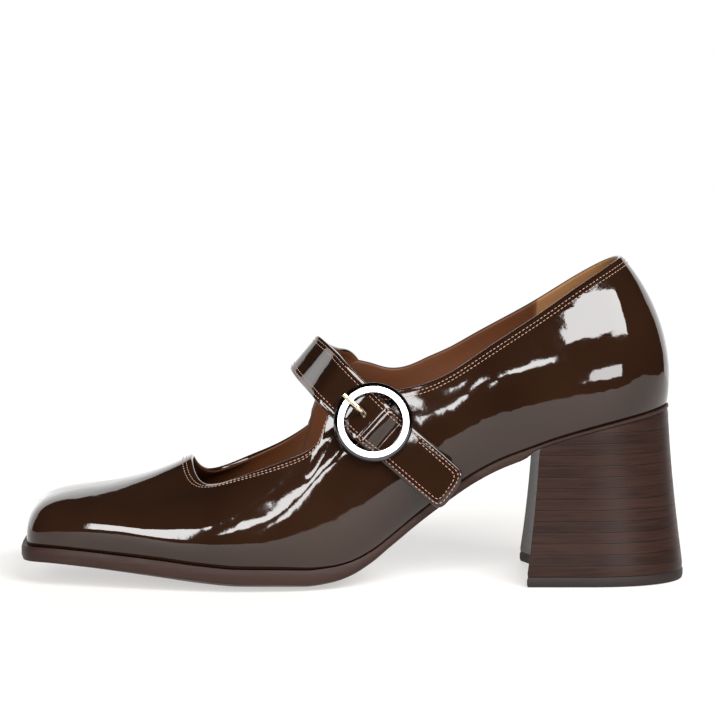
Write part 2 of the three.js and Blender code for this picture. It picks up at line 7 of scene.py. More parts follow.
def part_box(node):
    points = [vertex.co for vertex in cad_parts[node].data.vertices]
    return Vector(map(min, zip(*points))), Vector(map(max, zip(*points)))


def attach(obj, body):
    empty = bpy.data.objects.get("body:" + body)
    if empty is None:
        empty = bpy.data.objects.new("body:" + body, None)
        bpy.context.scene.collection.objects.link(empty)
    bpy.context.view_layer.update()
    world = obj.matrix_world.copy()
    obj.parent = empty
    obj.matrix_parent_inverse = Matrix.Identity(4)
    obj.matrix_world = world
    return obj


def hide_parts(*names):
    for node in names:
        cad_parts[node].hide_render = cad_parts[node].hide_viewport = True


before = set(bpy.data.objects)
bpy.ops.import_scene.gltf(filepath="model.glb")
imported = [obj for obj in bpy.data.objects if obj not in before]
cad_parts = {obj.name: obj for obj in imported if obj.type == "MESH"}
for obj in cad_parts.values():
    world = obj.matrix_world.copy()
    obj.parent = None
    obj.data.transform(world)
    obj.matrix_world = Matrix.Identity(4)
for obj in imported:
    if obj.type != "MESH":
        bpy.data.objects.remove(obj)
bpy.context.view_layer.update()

# the shoe's own sizes in millimetres: x from the back of the heel, y to the outer side, z from the floor
shoe = {"length": 250, "ballWidth": 80, "instepHeight": 80, "heelRise": 62, "toeSpring": 8.4,
        "edgeRoll": 3, "soleThickness": 5.5, "soleMargin": 2, "wall": 2, "gap": 0.3, "rollFlat": 0.55}

pieceLow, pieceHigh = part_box("top_piece")
shift = np.array([pieceLow.x * 1000, (pieceLow.y + pieceHigh.y) * 500, 0.0])


def toScene(points):
    return (np.asarray(points, float) + shift) / 1000


# smooth closed curve through rows, the same as the solid's
def closedCurve(at, values):
    at, values = np.asarray(at, float), np.asarray(values, float)
    n = len(at)
    step = np.append(np.diff(at), at[0] + 1 - at[-1])
    grid, right = np.zeros((n, n)), np.zeros(n)
    for i in range(n):
        before, after = (i - 1) % n, (i + 1) % n
        grid[i, before] += step[before]
        grid[i, i] += 2 * (step[before] + step[i])
        grid[i, after] += step[i]
        right[i] = 6 * ((values[after] - values[i]) / step[i] - (values[i] - values[before]) / step[before])
    bend = np.linalg.solve(grid, right)

    def curve(t):
        u = at[0] + ((np.asarray(t, float) - at[0]) % 1.0)
        i = np.clip(np.searchsorted(at, u, side="right") - 1, 0, n - 1)
        j = (i + 1) % n
        b = (u - at[i]) / step[i]
        a = 1 - b
        return (a * values[i] + b * values[j]
                + ((a ** 3 - a) * bend[i] + (b ** 3 - b) * bend[j]) * step[i] ** 2 / 6)
    return curve


# smooth open curve through rows
def openCurve(at, values):
    at, values = np.asarray(at, float), np.asarray(values, float)
    n = len(at)
    step = np.diff(at)
    grid, right = np.eye(n), np.zeros(n)
    for i in range(1, n - 1):
        grid[i, i - 1], grid[i, i], grid[i, i + 1] = step[i - 1], 2 * (step[i - 1] + step[i]), step[i]
        right[i] = 6 * ((values[i + 1] - values[i]) / step[i] - (values[i] - values[i - 1]) / step[i - 1])
    bend = np.linalg.solve(grid, right)

    def curve(t):
        u = np.asarray(t, float)
        i = np.clip(np.searchsorted(at, u, side="right") - 1, 0, n - 2)
        h = step[i]
        b = (u - at[i]) / h
        a = 1 - b
        return (a * values[i] + b * values[i + 1]
                + ((a ** 3 - a) * bend[i] + (b ** 3 - b) * bend[i + 1]) * h ** 2 / 6)
    return curve


# curve through rows that never swings past them
def steadyCurve(at, values):
    at, values = np.asarray(at, float), np.asarray(values, float)
    n = len(at)
    rise = np.diff(values) / np.diff(at)
    slope = np.zeros(n)
    slope[0], slope[-1] = rise[0], rise[-1]
    for i in range(1, n - 1):
        product = rise[i - 1] * rise[i]
        slope[i] = 0 if product <= 0 else 2 * product / (rise[i - 1] + rise[i])

    def curve(t):
        u = np.clip(np.asarray(t, float), at[0], at[-1])
        i = np.clip(np.searchsorted(at, u, side="right") - 1, 0, n - 2)
        h = at[i + 1] - at[i]
        s = (u - at[i]) / h
        return ((2 * s ** 3 - 3 * s ** 2 + 1) * values[i] + (s ** 3 - 2 * s ** 2 + s) * h * slope[i]
                + (3 * s ** 2 - 2 * s ** 3) * values[i + 1] + (s ** 3 - s ** 2) * h * slope[i + 1])
    return curve


def named(names, rows):
    return {name: np.array([row[i] for row in rows], float) for i, name in enumerate(names)}


soleLine = named(["along", "lift", "spring", "thick", "roll", "mid", "half"], [
    (0.000, 0.985, 0.00, 0.26, 0.20, 0.000, 0.34), (0.100, 0.896, 0.00, 0.26, 0.20, 0.005, 0.34),
    (0.200, 0.785, 0.00, 0.26, 0.20, 0.015, 0.33), (0.226, 0.746, 0.00, 0.26, 0.22, 0.025, 0.32),
    (0.244, 0.717, 0.00, 0.60, 0.26, 0.032, 0.31), (0.280, 0.656, 0.00, 0.62, 0.35, 0.045, 0.29),
    (0.320, 0.565, 0.00, 0.62, 0.45, 0.050, 0.28), (0.360, 0.453, 0.00, 0.62, 0.50, 0.050, 0.29),
    (0.400, 0.331, 0.00, 0.62, 0.60, 0.050, 0.31), (0.440, 0.198, 0.00, 0.62, 0.75, 0.050, 0.34),
    (0.470, 0.105, 0.00, 0.70, 0.85, 0.045, 0.37), (0.500, 0.045, 0.00, 0.84, 0.95, 0.040, 0.41),
    (0.530, 0.015, 0.00, 0.95, 1.00, 0.035, 0.44), (0.570, 0.000, 0.00, 1.00, 1.00, 0.025, 0.47),
    (0.665, 0.000, 0.00, 1.00, 1.00, 0.000, 0.50), (0.720, 0.000, 0.12, 1.00, 0.95, -0.010, 0.49),
    (0.780, 0.000, 0.33, 1.00, 0.80, -0.025, 0.46), (0.840, 0.000, 0.55, 1.00, 0.65, -0.035, 0.43),
    (0.900, 0.000, 0.75, 1.00, 0.50, -0.040, 0.39), (0.960, 0.000, 0.92, 1.00, 0.40, -0.040, 0.36),
    (1.010, 0.000, 1.02, 1.00, 0.40, -0.040, 0.36)])

feather = named(["at", "along", "side", "margin"], [
    (0.000, 0.026, 0.000, 0.3), (0.026, 0.042, 0.158, 0.3), (0.052, 0.086, 0.276, 0.3),
    (0.086, 0.160, 0.325, 0.2), (0.122, 0.240, 0.322, 0.1), (0.158, 0.320, 0.318, 0.1),
    (0.194, 0.400, 0.342, 0.1), (0.230, 0.480, 0.398, 0.2), (0.266, 0.560, 0.456, 0.8),
    (0.300, 0.636, 0.484, 1.0), (0.336, 0.716, 0.474, 1.0), (0.374, 0.800, 0.432, 1.0),
    (0.411, 0.880, 0.376, 1.0), (0.440, 0.944, 0.318, 1.0), (0.461, 0.976, 0.236, 1.0),
    (0.500, 0.986, -0.035, 1.0), (0.539, 0.976, -0.312, 1.0), (0.560, 0.944, -0.392, 1.0),
    (0.589, 0.880, -0.436, 1.0), (0.626, 0.800, -0.474, 1.0), (0.664, 0.716, -0.490, 1.0),
    (0.700, 0.636, -0.458, 0.9), (0.734, 0.560, -0.380, 0.6), (0.770, 0.480, -0.292, 0.3),
    (0.806, 0.400, -0.236, 0.1), (0.842, 0.320, -0.238, 0.1), (0.878, 0.240, -0.278, 0.1),
    (0.914, 0.160, -0.312, 0.2), (0.948, 0.086, -0.272, 0.3), (0.974, 0.042, -0.158, 0.3)])

walls = named(["at", "lowAlong", "lowSide", "lowUp", "highAlong", "highSide", "highUp"], [
    (0.000, 0.013, 0.000, 0.225, 0.038, 0.000, 0.500), (0.026, 0.028, 0.225, 0.225, 0.050, 0.150, 0.500),
    (0.052, 0.078, 0.368, 0.230, 0.090, 0.275, 0.500), (0.086, 0.158, 0.412, 0.230, 0.162, 0.345, 0.470),
    (0.122, 0.240, 0.415, 0.210, 0.240, 0.380, 0.430), (0.158, 0.320, 0.425, 0.180, 0.322, 0.405, 0.420),
    (0.194, 0.400, 0.452, 0.160, 0.400, 0.420, 0.430), (0.230, 0.482, 0.494, 0.150, 0.470, 0.450, 0.440),
    (0.266, 0.562, 0.532, 0.150, 0.540, 0.490, 0.380), (0.300, 0.640, 0.552, 0.150, 0.610, 0.500, 0.310),
    (0.336, 0.722, 0.548, 0.170, 0.690, 0.470, 0.270), (0.374, 0.812, 0.505, 0.210, 0.775, 0.400, 0.240),
    (0.411, 0.896, 0.435, 0.260, 0.840, 0.290, 0.215), (0.440, 0.958, 0.350, 0.300, 0.872, 0.180, 0.190),
    (0.461, 0.983, 0.240, 0.330, 0.884, 0.095, 0.180), (0.500, 0.989, -0.035, 0.350, 0.890, -0.032, 0.175),
    (0.539, 0.983, -0.312, 0.330, 0.884, -0.160, 0.180), (0.560, 0.958, -0.420, 0.300, 0.872, -0.250, 0.190),
    (0.589, 0.896, -0.490, 0.260, 0.840, -0.355, 0.215), (0.626, 0.812, -0.540, 0.210, 0.775, -0.450, 0.240),
    (0.664, 0.722, -0.560, 0.170, 0.690, -0.500, 0.270), (0.700, 0.640, -0.530, 0.155, 0.610, -0.500, 0.310),
    (0.734, 0.562, -0.470, 0.155, 0.545, -0.465, 0.390), (0.770, 0.482, -0.410, 0.160, 0.465, -0.420, 0.440),
    (0.806, 0.400, -0.372, 0.180, 0.390, -0.400, 0.430), (0.842, 0.320, -0.370, 0.190, 0.318, -0.390, 0.420),
    (0.878, 0.240, -0.385, 0.210, 0.240, -0.375, 0.430), (0.914, 0.158, -0.402, 0.230, 0.162, -0.342, 0.470),
    (0.948, 0.078, -0.364, 0.230, 0.090, -0.272, 0.500),
    (0.974, 0.028, -0.225, 0.225, 0.050, -0.150, 0.500)])

topline = named(["at", "along", "side", "up"], [
    (0.000, 0.0940, 0.000, 0.735), (0.022, 0.1020, 0.106, 0.730), (0.045, 0.1260, 0.188, 0.708),
    (0.070, 0.1640, 0.241, 0.668), (0.105, 0.2240, 0.288, 0.604), (0.150, 0.3120, 0.338, 0.556),
    (0.175, 0.3540, 0.356, 0.560), (0.195, 0.3880, 0.368, 0.590), (0.212, 0.4120, 0.376, 0.630),
    (0.230, 0.4400, 0.382, 0.690), (0.246, 0.4700, 0.386, 0.765), (0.258, 0.5000, 0.384, 0.800),
    (0.267, 0.5220, 0.384, 0.778), (0.274, 0.5350, 0.392, 0.725), (0.281, 0.5415, 0.404, 0.660),
    (0.290, 0.5520, 0.416, 0.600), (0.306, 0.5800, 0.423, 0.548), (0.325, 0.6160, 0.412, 0.505),
    (0.350, 0.6560, 0.378, 0.458), (0.378, 0.6940, 0.325, 0.408), (0.403, 0.7200, 0.258, 0.390),
    (0.428, 0.7350, 0.170, 0.415), (0.458, 0.7420, 0.080, 0.455), (0.500, 0.7440, -0.030, 0.470),
    (0.542, 0.7420, -0.140, 0.455), (0.572, 0.7350, -0.225, 0.410), (0.597, 0.7190, -0.310, 0.378),
    (0.622, 0.6920, -0.368, 0.395), (0.650, 0.6560, -0.410, 0.440), (0.675, 0.6160, -0.430, 0.490),
    (0.692, 0.5840, -0.434, 0.545), (0.704, 0.5600, -0.420, 0.605), (0.713, 0.5500, -0.398, 0.665),
    (0.7195, 0.5480, -0.376, 0.718), (0.724, 0.5400, -0.364, 0.757), (0.742, 0.4960, -0.334, 0.862),
    (0.748, 0.4860, -0.336, 0.846), (0.756, 0.4720, -0.346, 0.810), (0.768, 0.4480, -0.358, 0.731),
    (0.784, 0.4180, -0.366, 0.657), (0.805, 0.3860, -0.366, 0.618), (0.827, 0.3520, -0.356, 0.588),
    (0.852, 0.3100, -0.338, 0.576), (0.895, 0.2240, -0.288, 0.608), (0.930, 0.1640, -0.241, 0.668),
    (0.955, 0.1260, -0.188, 0.708), (0.978, 0.1020, -0.106, 0.730)])

# strap from its root on the inner side (0) to the end of its tail (1): its two edges,
# how far it follows the outer quarter, and how far it stands off it
strapRows = named(["at", "frontAlong", "frontSide", "frontUp", "backAlong", "backSide", "backUp",
                   "lies", "off"], [
    (-0.04, 0.5300, -0.356, 0.745, 0.4860, -0.330, 0.848, 0.0, 0.0),
    (0.00, 0.5430, -0.342, 0.778, 0.4960, -0.308, 0.903, 0.0, 0.0),
    (0.09, 0.5610, -0.268, 0.829, 0.5160, -0.236, 0.952, 0.0, 0.0),
    (0.18, 0.5800, -0.160, 0.872, 0.5370, -0.135, 1.006, 0.0, 0.0),
    (0.28, 0.5888, -0.020, 0.894, 0.5464, -0.010, 1.051, 0.0, 0.0),
    (0.37, 0.5752, 0.135, 0.856, 0.5316, 0.128, 1.022, 0.0, 0.0),
    (0.46, 0.5584, 0.300, 0.822, 0.5144, 0.285, 0.979, 0.3, 0.0),
    (0.53, 0.5440, 0.395, 0.776, 0.5000, 0.375, 0.920, 1.0, 0.0),
    (0.64, 0.5020, 0.450, 0.622, 0.4580, 0.400, 0.722, 1.0, 0.0),
    (0.76, 0.4600, 0.460, 0.441, 0.4180, 0.420, 0.501, 1.0, 0.1),
    (0.88, 0.4180, 0.460, 0.221, 0.3780, 0.430, 0.294, 1.0, 0.8),
    (1.00, 0.3760, 0.455, 0.005, 0.3380, 0.430, 0.093, 1.0, 1.5)])

shoeLong, shoeWide, shoeTall = shoe["length"], shoe["ballWidth"], shoe["instepHeight"]
soleAt = soleLine["along"] * shoeLong
liftOf = steadyCurve(soleAt, soleLine["lift"] * shoe["heelRise"])
springOf = steadyCurve(soleAt, soleLine["spring"] * shoe["toeSpring"])
thickOf = steadyCurve(soleAt, soleLine["thick"] * shoe["soleThickness"])
rollOf = steadyCurve(soleAt, soleLine["roll"] * shoe["edgeRoll"])
midOf = steadyCurve(soleAt, soleLine["mid"] * shoeWide)
halfOf = steadyCurve(soleAt, soleLine["half"] * shoeWide)


def seatLine(x):
    return liftOf(x) + springOf(x) + shoe["soleThickness"]


def soleTop(x, y):
    over = np.maximum(0, (np.abs(y - midOf(x)) / halfOf(x) - shoe["rollFlat"]) / (1 - shoe["rollFlat"]))
    return seatLine(x) + rollOf(x) * over ** 2


featherX = closedCurve(feather["at"], feather["along"] * shoeLong)
featherY = closedCurve(feather["at"], feather["side"] * shoeWide)
marginOf = closedCurve(feather["at"], feather["margin"] * shoe["soleMargin"])


def closedPath(rows, along, side, up):
    x, y = rows[along] * shoeLong, rows[side] * shoeWide
    curves = [closedCurve(rows["at"], v) for v in (x, y, seatLine(x) + rows[up] * shoeTall)]
    return lambda t: np.stack([curve(t) for curve in curves], -1)


lowGuide = closedPath(walls, "lowAlong", "lowSide", "lowUp")
highGuide = closedPath(walls, "highAlong", "highSide", "highUp")
toplinePath = closedPath(topline, "along", "side", "up")


def featherPoint(t):
    x, y = featherX(t), featherY(t)
    return np.stack([x, y, soleTop(x, y) + shoe["gap"]], -1)


# outer face of the upper: t once round, w from the sole edge to the topline
def upperFace(t, w):
    t, w = np.broadcast_arrays(np.asarray(t, float), np.asarray(w, float))
    w = w[..., None]
    v = 1 - w
    return (featherPoint(t) * v ** 3 + lowGuide(t) * 3 * v * v * w
            + highGuide(t) * 3 * v * w * w + toplinePath(t) * w ** 3)


def unit(vectors):
    return vectors / np.maximum(np.linalg.norm(vectors, axis=-1, keepdims=True), 1e-9)


def upperNormal(t, w, d=0.002):
    t, w = np.broadcast_arrays(np.asarray(t, float), np.asarray(w, float))
    a = upperFace(t + d, w) - upperFace(t - d, w)
    b = upperFace(t, np.minimum(w + d, 1)) - upperFace(t, np.maximum(w - d, 0))
    return unit(np.cross(b, a))


def outline(t, out):
    d = 0.002
    dx, dy = featherX(t + d) - featherX(t - d), featherY(t + d) - featherY(t - d)
    size = np.hypot(dx, dy)
    return featherX(t) - out * dy / size, featherY(t) + out * dx / size


# stations spread evenly by length round the upper
def evenStations(count, low=0.0, high=1.0, fine=4000):
    t = np.linspace(0, 1, fine + 1)
    reach = np.zeros(fine + 1)
    for w in (low, high):
        p = upperFace(t, w)
        reach[1:] += np.cumsum(np.linalg.norm(np.diff(p, axis=0), axis=1))
    return np.interp(np.linspace(0, reach[-1], count + 1), reach, t)


def deselect():
    bpy.ops.object.select_all(action="DESELECT")


def pick(obj):
    deselect()
    obj.select_set(True)
    bpy.context.view_layer.objects.active = obj
    return obj


# a primitive grid whose points are carried onto a shape; u and v run from 0 to 1 over it
def mappedGrid(name, across, up, mapping, extras=None, zones=None, weld=True):
    deselect()
    bpy.ops.mesh.primitive_grid_add(x_subdivisions=across, y_subdivisions=up, size=1)
    obj = bpy.context.object
    obj.name = name
    mesh = obj.data
    flat = np.zeros(len(mesh.vertices) * 3)
    mesh.vertices.foreach_get("co", flat)
    flat = flat.reshape(-1, 3)
    u = np.round((flat[:, 0] + 0.5) * across) / across
    v = np.round((flat[:, 1] + 0.5) * up) / up
    points = toScene(mapping(u, v))
    mesh.vertices.foreach_set("co", points.astype(np.float32).ravel())
    for key, values in (extras(u, v) if extras else {}).items():
        layer = mesh.attributes.new(key, "FLOAT", "POINT")
        layer.data.foreach_set("value", np.asarray(values, np.float32).ravel())
    if zones:
        corners = np.zeros(len(mesh.loops), np.int32)
        mesh.loops.foreach_get("vertex_index", corners)
        middle = v[corners].reshape(-1, 4).mean(1)
        mesh.polygons.foreach_set("material_index", zones(middle).astype(np.int32))
    mesh.update()
    if weld:
        tidyShell(obj)
    return obj


def tidyShell(obj, reach=1e-6):
    pick(obj)
    bpy.ops.object.mode_set(mode="EDIT")
    bpy.ops.mesh.select_all(action="SELECT")
    bpy.ops.mesh.remove_doubles(threshold=reach)
    bpy.ops.mesh.normals_make_consistent(inside=False)
    bpy.ops.object.mode_set(mode="OBJECT")
    bpy.ops.object.shade_smooth()


print("shape functions ready")

# soft dents and swells of the worked leather, in stations, shares of the wall and millimetres
upperLook = {"round": 400, "outer": 50, "roll": 8, "inner": 22, "rim": 2}
softRows = named(["at", "w", "reachAt", "reachW", "depth"], [
    (0.070, 0.55, 0.018, 0.16, -0.22), (0.095, 0.35, 0.016, 0.12, 0.20), (0.148, 0.68, 0.010, 0.12, -0.18),
    (0.308, 0.66, 0.009, 0.10, -0.22), (0.264, 0.74, 0.018, 0.09, 0.50), (0.261, 0.97, 0.022, 0.12, -0.85),
    (0.290, 0.45, 0.020, 0.12, -0.22), (0.335, 0.72, 0.022, 0.10, 0.20), (0.370, 0.38, 0.024, 0.12, -0.18),
    (0.425, 0.80, 0.025, 0.08, 0.16), (0.560, 0.75, 0.025, 0.10, -0.18), (0.640, 0.50, 0.024, 0.12, 0.22),
    (0.700, 0.45, 0.020, 0.16, -0.25), (0.780, 0.50, 0.022, 0.16, 0.24), (0.860, 0.45, 0.022, 0.14, -0.22),
    (0.925, 0.60, 0.020, 0.16, 0.20)])


def softShape(t, w):
    out = np.zeros(np.shape(t))
    for i in range(len(softRows["at"])):
        away = (np.asarray(t) - softRows["at"][i] + 0.5) % 1.0 - 0.5
        out += softRows["depth"][i] * np.exp(-(away / softRows["reachAt"][i]) ** 2
                                             - ((w - softRows["w"][i]) / softRows["reachW"][i]) ** 2)
    return out * np.clip((1 - w) / 0.12, 0, 1) * np.clip(w / 0.08, 0, 1)


def buildUpper():
    k = upperLook
    stations = evenStations(k["round"])
    total = k["outer"] + k["roll"] + k["inner"] + k["rim"]
    marks = np.cumsum([k["outer"], k["roll"], k["inner"], k["rim"]]) / total

    def mapping(u, v):
        t = np.interp(u, np.linspace(0, 1, k["round"] + 1), stations)
        outer = v <= marks[0] + 1e-9
        roll = (v > marks[0] + 1e-9) & (v < marks[1] - 1e-9)
        rim = v > marks[2] + 1e-9
        w = np.where(outer, v / marks[0], np.where(roll, 1.0, 1 - (v - marks[1]) / (marks[2] - marks[1])))
        w = np.clip(np.where(rim, 0.0, w), 0, 1)
        normal = upperNormal(t, w)
        face = upperFace(t, w) + normal * softShape(t, w)[:, None]
        inner = face - normal * shoe["wall"]
        points = np.where(outer[:, None], face, inner)
        up = unit(upperFace(t, 1.0) - upperFace(t, 0.985))
        turn = np.clip((v - marks[0]) / (marks[1] - marks[0]), 0, 1) * math.pi
        half = shoe["wall"] / 2
        rolled = face + normal * (half * np.cos(turn) - half)[:, None] + up * (half * np.sin(turn))[:, None]
        points = np.where(roll[:, None], rolled, points)
        share = ((v - marks[2]) / (1 - marks[2]))[:, None]
        points = np.where(rim[:, None], inner * (1 - share) + face * share, points)
        return points

    def extras(u, v):
        t = np.interp(u, np.linspace(0, 1, k["round"] + 1), stations)
        w = np.clip(v / marks[0], 0, 1)
        size = np.linalg.norm(upperFace(t, 1.0) - upperFace(t, 0.99), axis=-1) * 100
        return {"edgeDistance": (1 - w) * size, "station": t}

    obj = mappedGrid("upperLeather", k["round"], total, mapping, extras,
                     lambda v: np.where((v > marks[0] + 0.6 * (marks[1] - marks[0])) & (v < marks[2]), 1, 0))
    return obj


upper = buildUpper()
print("upper built", len(upper.data.polygons))

# strap
strapLook = {"along": 240, "plain": 200, "across": 12, "round": 6, "lift": 0.6, "thick": 2.2, "start": -0.03,
             "free": 0.84, "tail": 0.970, "end": 1.022, "square": 3.6, "span": 110, "meets": (0.56, 0.64)}
# in the buckle, flat is the least share of a ring face's normal along the buckle's outward way that keeps
# the bright silver; faces below it get the darker painted shade
buckle = {"along": 0.468, "up": 0.622, "diameter": 29, "band": 3.1, "depth": 2.2, "bar": 2.0,
          "barReach": 9.7, "prong": 1.9, "bulgeReach": 8.5, "heading": 0.62, "soft": 0.22,
          "section": ((10.8, 1.1), (13.0, 1.1), (13.9, 0.5), (14.5, -0.5), (14.5, -1.1), (10.5, -1.1)),
          "flat": 0.9}


def edgePath(along, side, up):
    x, y = strapRows[along] * shoeLong, strapRows[side] * shoeWide
    curves = [openCurve(strapRows["at"], v) for v in (x, y, seatLine(x) + strapRows[up] * shoeTall)]
    return lambda t: np.stack([curve(np.asarray(t, float)) for curve in curves], -1)


strapFront = edgePath("frontAlong", "frontSide", "frontUp")
strapBack = edgePath("backAlong", "backSide", "backUp")
strapLies = steadyCurve(strapRows["at"], strapRows["lies"])
strapOff = steadyCurve(strapRows["at"], strapRows["off"])


quarterLook = {"start": 0.12, "end": 0.33, "low": 0.16, "high": 1.25, "steps": 14, "pull": 0.8}


# point on the outer quarter level with x and z, and the way out from it
def quarterPoint(x, z):
    x, z = np.atleast_1d(np.asarray(x, float)), np.atleast_1d(np.asarray(z, float))
    k = quarterLook
    ti, wi = np.meshgrid(np.linspace(k["start"], k["end"], 22), np.linspace(0, 1, 13))
    ti, wi = ti.ravel(), wi.ravel()
    p = upperFace(ti, wi)
    best = np.argmin((p[None, :, 0] - x[:, None]) ** 2 + (p[None, :, 2] - z[:, None]) ** 2, axis=1)
    t, w, d = ti[best], wi[best], 0.002
    for step in range(k["steps"]):
        p = upperFace(t, w)
        pt, pw = (upperFace(t + d, w) - p) / d, (upperFace(t, w + d) - p) / d
        det = pt[:, 0] * pw[:, 2] - pw[:, 0] * pt[:, 2]
        dx, dz = x - p[:, 0], z - p[:, 2]
        t = np.clip(t + k["pull"] * (dx * pw[:, 2] - pw[:, 0] * dz) / det, k["start"], k["end"])
        w = np.clip(w + k["pull"] * (pt[:, 0] * dz - dx * pt[:, 2]) / det, k["low"], k["high"])
    return upperFace(t, w), upperNormal(t, np.minimum(w, 1))


buckleX = buckle["along"] * shoeLong
buckleZ = float(seatLine(buckleX)) + buckle["up"] * shoeTall
buckleBase = quarterPoint(buckleX, buckleZ)[0][0]
spanX = quarterPoint([buckleX + 9, buckleX - 9], [buckleZ, buckleZ])[0]
spanZ = quarterPoint([buckleX, buckleX], [buckleZ + 9, buckleZ - 9])[0]
buckleAway = unit(np.cross(spanZ[0] - spanZ[1], spanX[0] - spanX[1]))
toSource = unit(strapFront(buckle["heading"]) - strapFront(buckle["heading"] + 0.05))
toSource = unit(toSource - buckleAway * np.dot(toSource, buckleAway))
buckleAcross = np.cross(buckleAway, toSource)
ringHeight = 2 * strapLook["lift"] + strapLook["thick"] + buckle["depth"] / 2 + shoe["gap"]
barHeight = strapLook["lift"] + buckle["bar"] / 2
bulgeHeight = barHeight + buckle["bar"] / 2 + shoe["gap"] - strapLook["lift"]


def atBuckle(along, across, away):
    along, across, away = (np.asarray(v, float)[..., None] for v in (along, across, away))
    return buckleBase + toSource * along + buckleAcross * across + buckleAway * away


# the side of the ear carried on smoothly past its edges, for the part of the strap that comes down to it
earLook = {"start": 0.205, "end": 0.262, "low": 0.4, "along": 125, "up": 65, "reach": 20}
earT, earW = (v.ravel() for v in np.meshgrid(np.linspace(earLook["start"], earLook["end"], 16),
                                             np.linspace(earLook["low"], 1.0, 12)))
earSide = upperFace(earT, earW)


def earTerms(x, z):
    x, z = (x - earLook["along"]) / earLook["reach"], (z - earLook["up"]) / earLook["reach"]
    return np.stack([np.ones_like(x), x, z, x * x, x * z, z * z], -1)


earBend = np.linalg.lstsq(earTerms(earSide[:, 0], earSide[:, 2]), earSide[:, 1], rcond=None)[0]


def strapOn(t, a):
    t = np.asarray(t, float)
    share = ((np.asarray(a) + 1) / 2)[..., None]
    p = strapFront(t) * (1 - share) + strapBack(t) * share
    lies = strapLies(t)
    q, away = quarterPoint(p[:, 0], p[:, 2])
    low, high = strapLook["meets"]
    s = np.clip((t - low) / (high - low), 0, 1)
    s = s * s * (3 - 2 * s)
    ear = earTerms(p[:, 0], p[:, 2]) @ earBend
    slopeX = earTerms(p[:, 0] + 1, p[:, 2]) @ earBend - ear
    slopeZ = earTerms(p[:, 0], p[:, 2] + 1) @ earBend - ear
    sideY = ear * (1 - s) + q[:, 1] * s
    lean = (1 - s) / np.sqrt(1 + slopeX ** 2 + slopeZ ** 2) + s * np.maximum(away[:, 1], 0.55)
    along = (p - buckleBase) @ toSource / buckle["bulgeReach"]
    bulge = np.where(np.abs(along) < 1, bulgeHeight * (0.5 + 0.5 * np.cos(math.pi * along)), 0)
    out = sideY + (strapLook["lift"] + strapLook["thick"] / 2 + bulge + strapOff(t)) / lean
    p[:, 1] = p[:, 1] * (1 - lies) + out * lies
    return p


# past "free" the tail runs straight on
def strapMiddle(t, a):
    t = np.asarray(t, float)
    free, step = strapLook["free"], 0.03
    p = strapOn(t, a)
    start, before = strapOn(np.full_like(t, free), a), strapOn(np.full_like(t, free - step), a)
    straight = start[:, 1] + (start[:, 1] - before[:, 1]) * (t - free) / step
    p[:, 1] = np.where(t > free, straight, p[:, 1])
    return p


def strapNormal(t, a):
    d = 0.003
    along = strapMiddle(t + d, a) - strapMiddle(t - d, a)
    across = strapMiddle(t, a + 0.03) - strapMiddle(t, a - 0.03)
    return unit(np.cross(along, across)), unit(across)


def buildStrap():
    k = strapLook
    ring = 2 * (k["across"] + k["round"])
    marks = np.cumsum([k["across"], k["round"], k["across"], k["round"]]) / ring
    tail = k["end"] - k["tail"]
    closing = np.sin(np.linspace(0, math.pi / 2, k["along"] - k["plain"] + 1))
    along = np.concatenate([np.linspace(k["start"], k["tail"], k["plain"], endpoint=False),
                            k["tail"] + tail * closing])

    def mapping(u, v):
        t = np.interp(u, np.linspace(0, 1, k["along"] + 1), along)
        end = np.clip((t - k["tail"]) / tail, 0, 1)
        narrow = (1 - end ** k["square"]) ** (1 / k["square"])
        top, low = v <= marks[0], (v >= marks[1]) & (v <= marks[2])
        backTurn = (v > marks[0]) & (v < marks[1])
        edge = 1 - 0.06
        lowPlace = 1 - 2 * (v - marks[1]) / (marks[2] - marks[1])
        a = np.where(top, -1 + 2 * v / marks[0], np.where(low, lowPlace, 0.0))
        a = np.where(backTurn, 1.0, np.where(v > marks[2], -1.0, a)) * edge
        turn = np.where(backTurn, (v - marks[0]) / (marks[1] - marks[0]),
                        np.where(v > marks[2], (v - marks[2]) / (1 - marks[2]), 0.0)) * math.pi
        lift = np.where(top, 1.0, np.where(low, -1.0, np.where(backTurn, np.cos(turn), -np.cos(turn))))
        push = np.where(top | low, 0.0, np.where(backTurn, np.sin(turn), -np.sin(turn)))
        middle = strapMiddle(t, a * narrow)
        normal, across = strapNormal(t, a * narrow)
        thin = 1 - 0.5 * end ** 8
        half = k["thick"] / 2
        return middle + normal * (lift * half * thin)[:, None] + across * (push * 0.5 * narrow)[:, None]

    def extras(u, v):
        t = np.interp(u, np.linspace(0, 1, k["along"] + 1), along)
        return {"strapAlong": t}

    obj = mappedGrid("strapLeather", k["along"], ring, mapping, extras,
                     lambda v: np.where((v > marks[1] - 0.02) & (v < marks[2] + 0.02), 1, 0))
    pick(obj)
    bpy.ops.object.mode_set(mode="EDIT")
    bpy.ops.mesh.select_all(action="SELECT")
    bpy.ops.mesh.fill_holes(sides=0)
    bpy.ops.mesh.normals_make_consistent(inside=False)
    bpy.ops.object.mode_set(mode="OBJECT")
    return obj


strap = buildStrap()
print("strap built", len(strap.data.polygons))


# buckle ring with its centre bar, and the prong
# closed loop through corners, each corner softened over a distance
def softLoop(corners, soft):
    corners = np.array(corners, float)
    points = []
    for i, corner in enumerate(corners):
        before, after = corners[i - 1], corners[(i + 1) % len(corners)]
        a = corner + unit(before - corner) * soft
        b = corner + unit(after - corner) * soft
        for s in (0, 0.25, 0.5, 0.75, 1):
            points.append(a * (1 - s) ** 2 + corner * 2 * s * (1 - s) + b * s * s)
        reach = np.linalg.norm(after - corner) - 2 * soft
        points.append(b + unit(after - corner) * reach * 0.12)
        points.append(b + unit(after - corner) * reach * 0.88)
    return np.array(points)


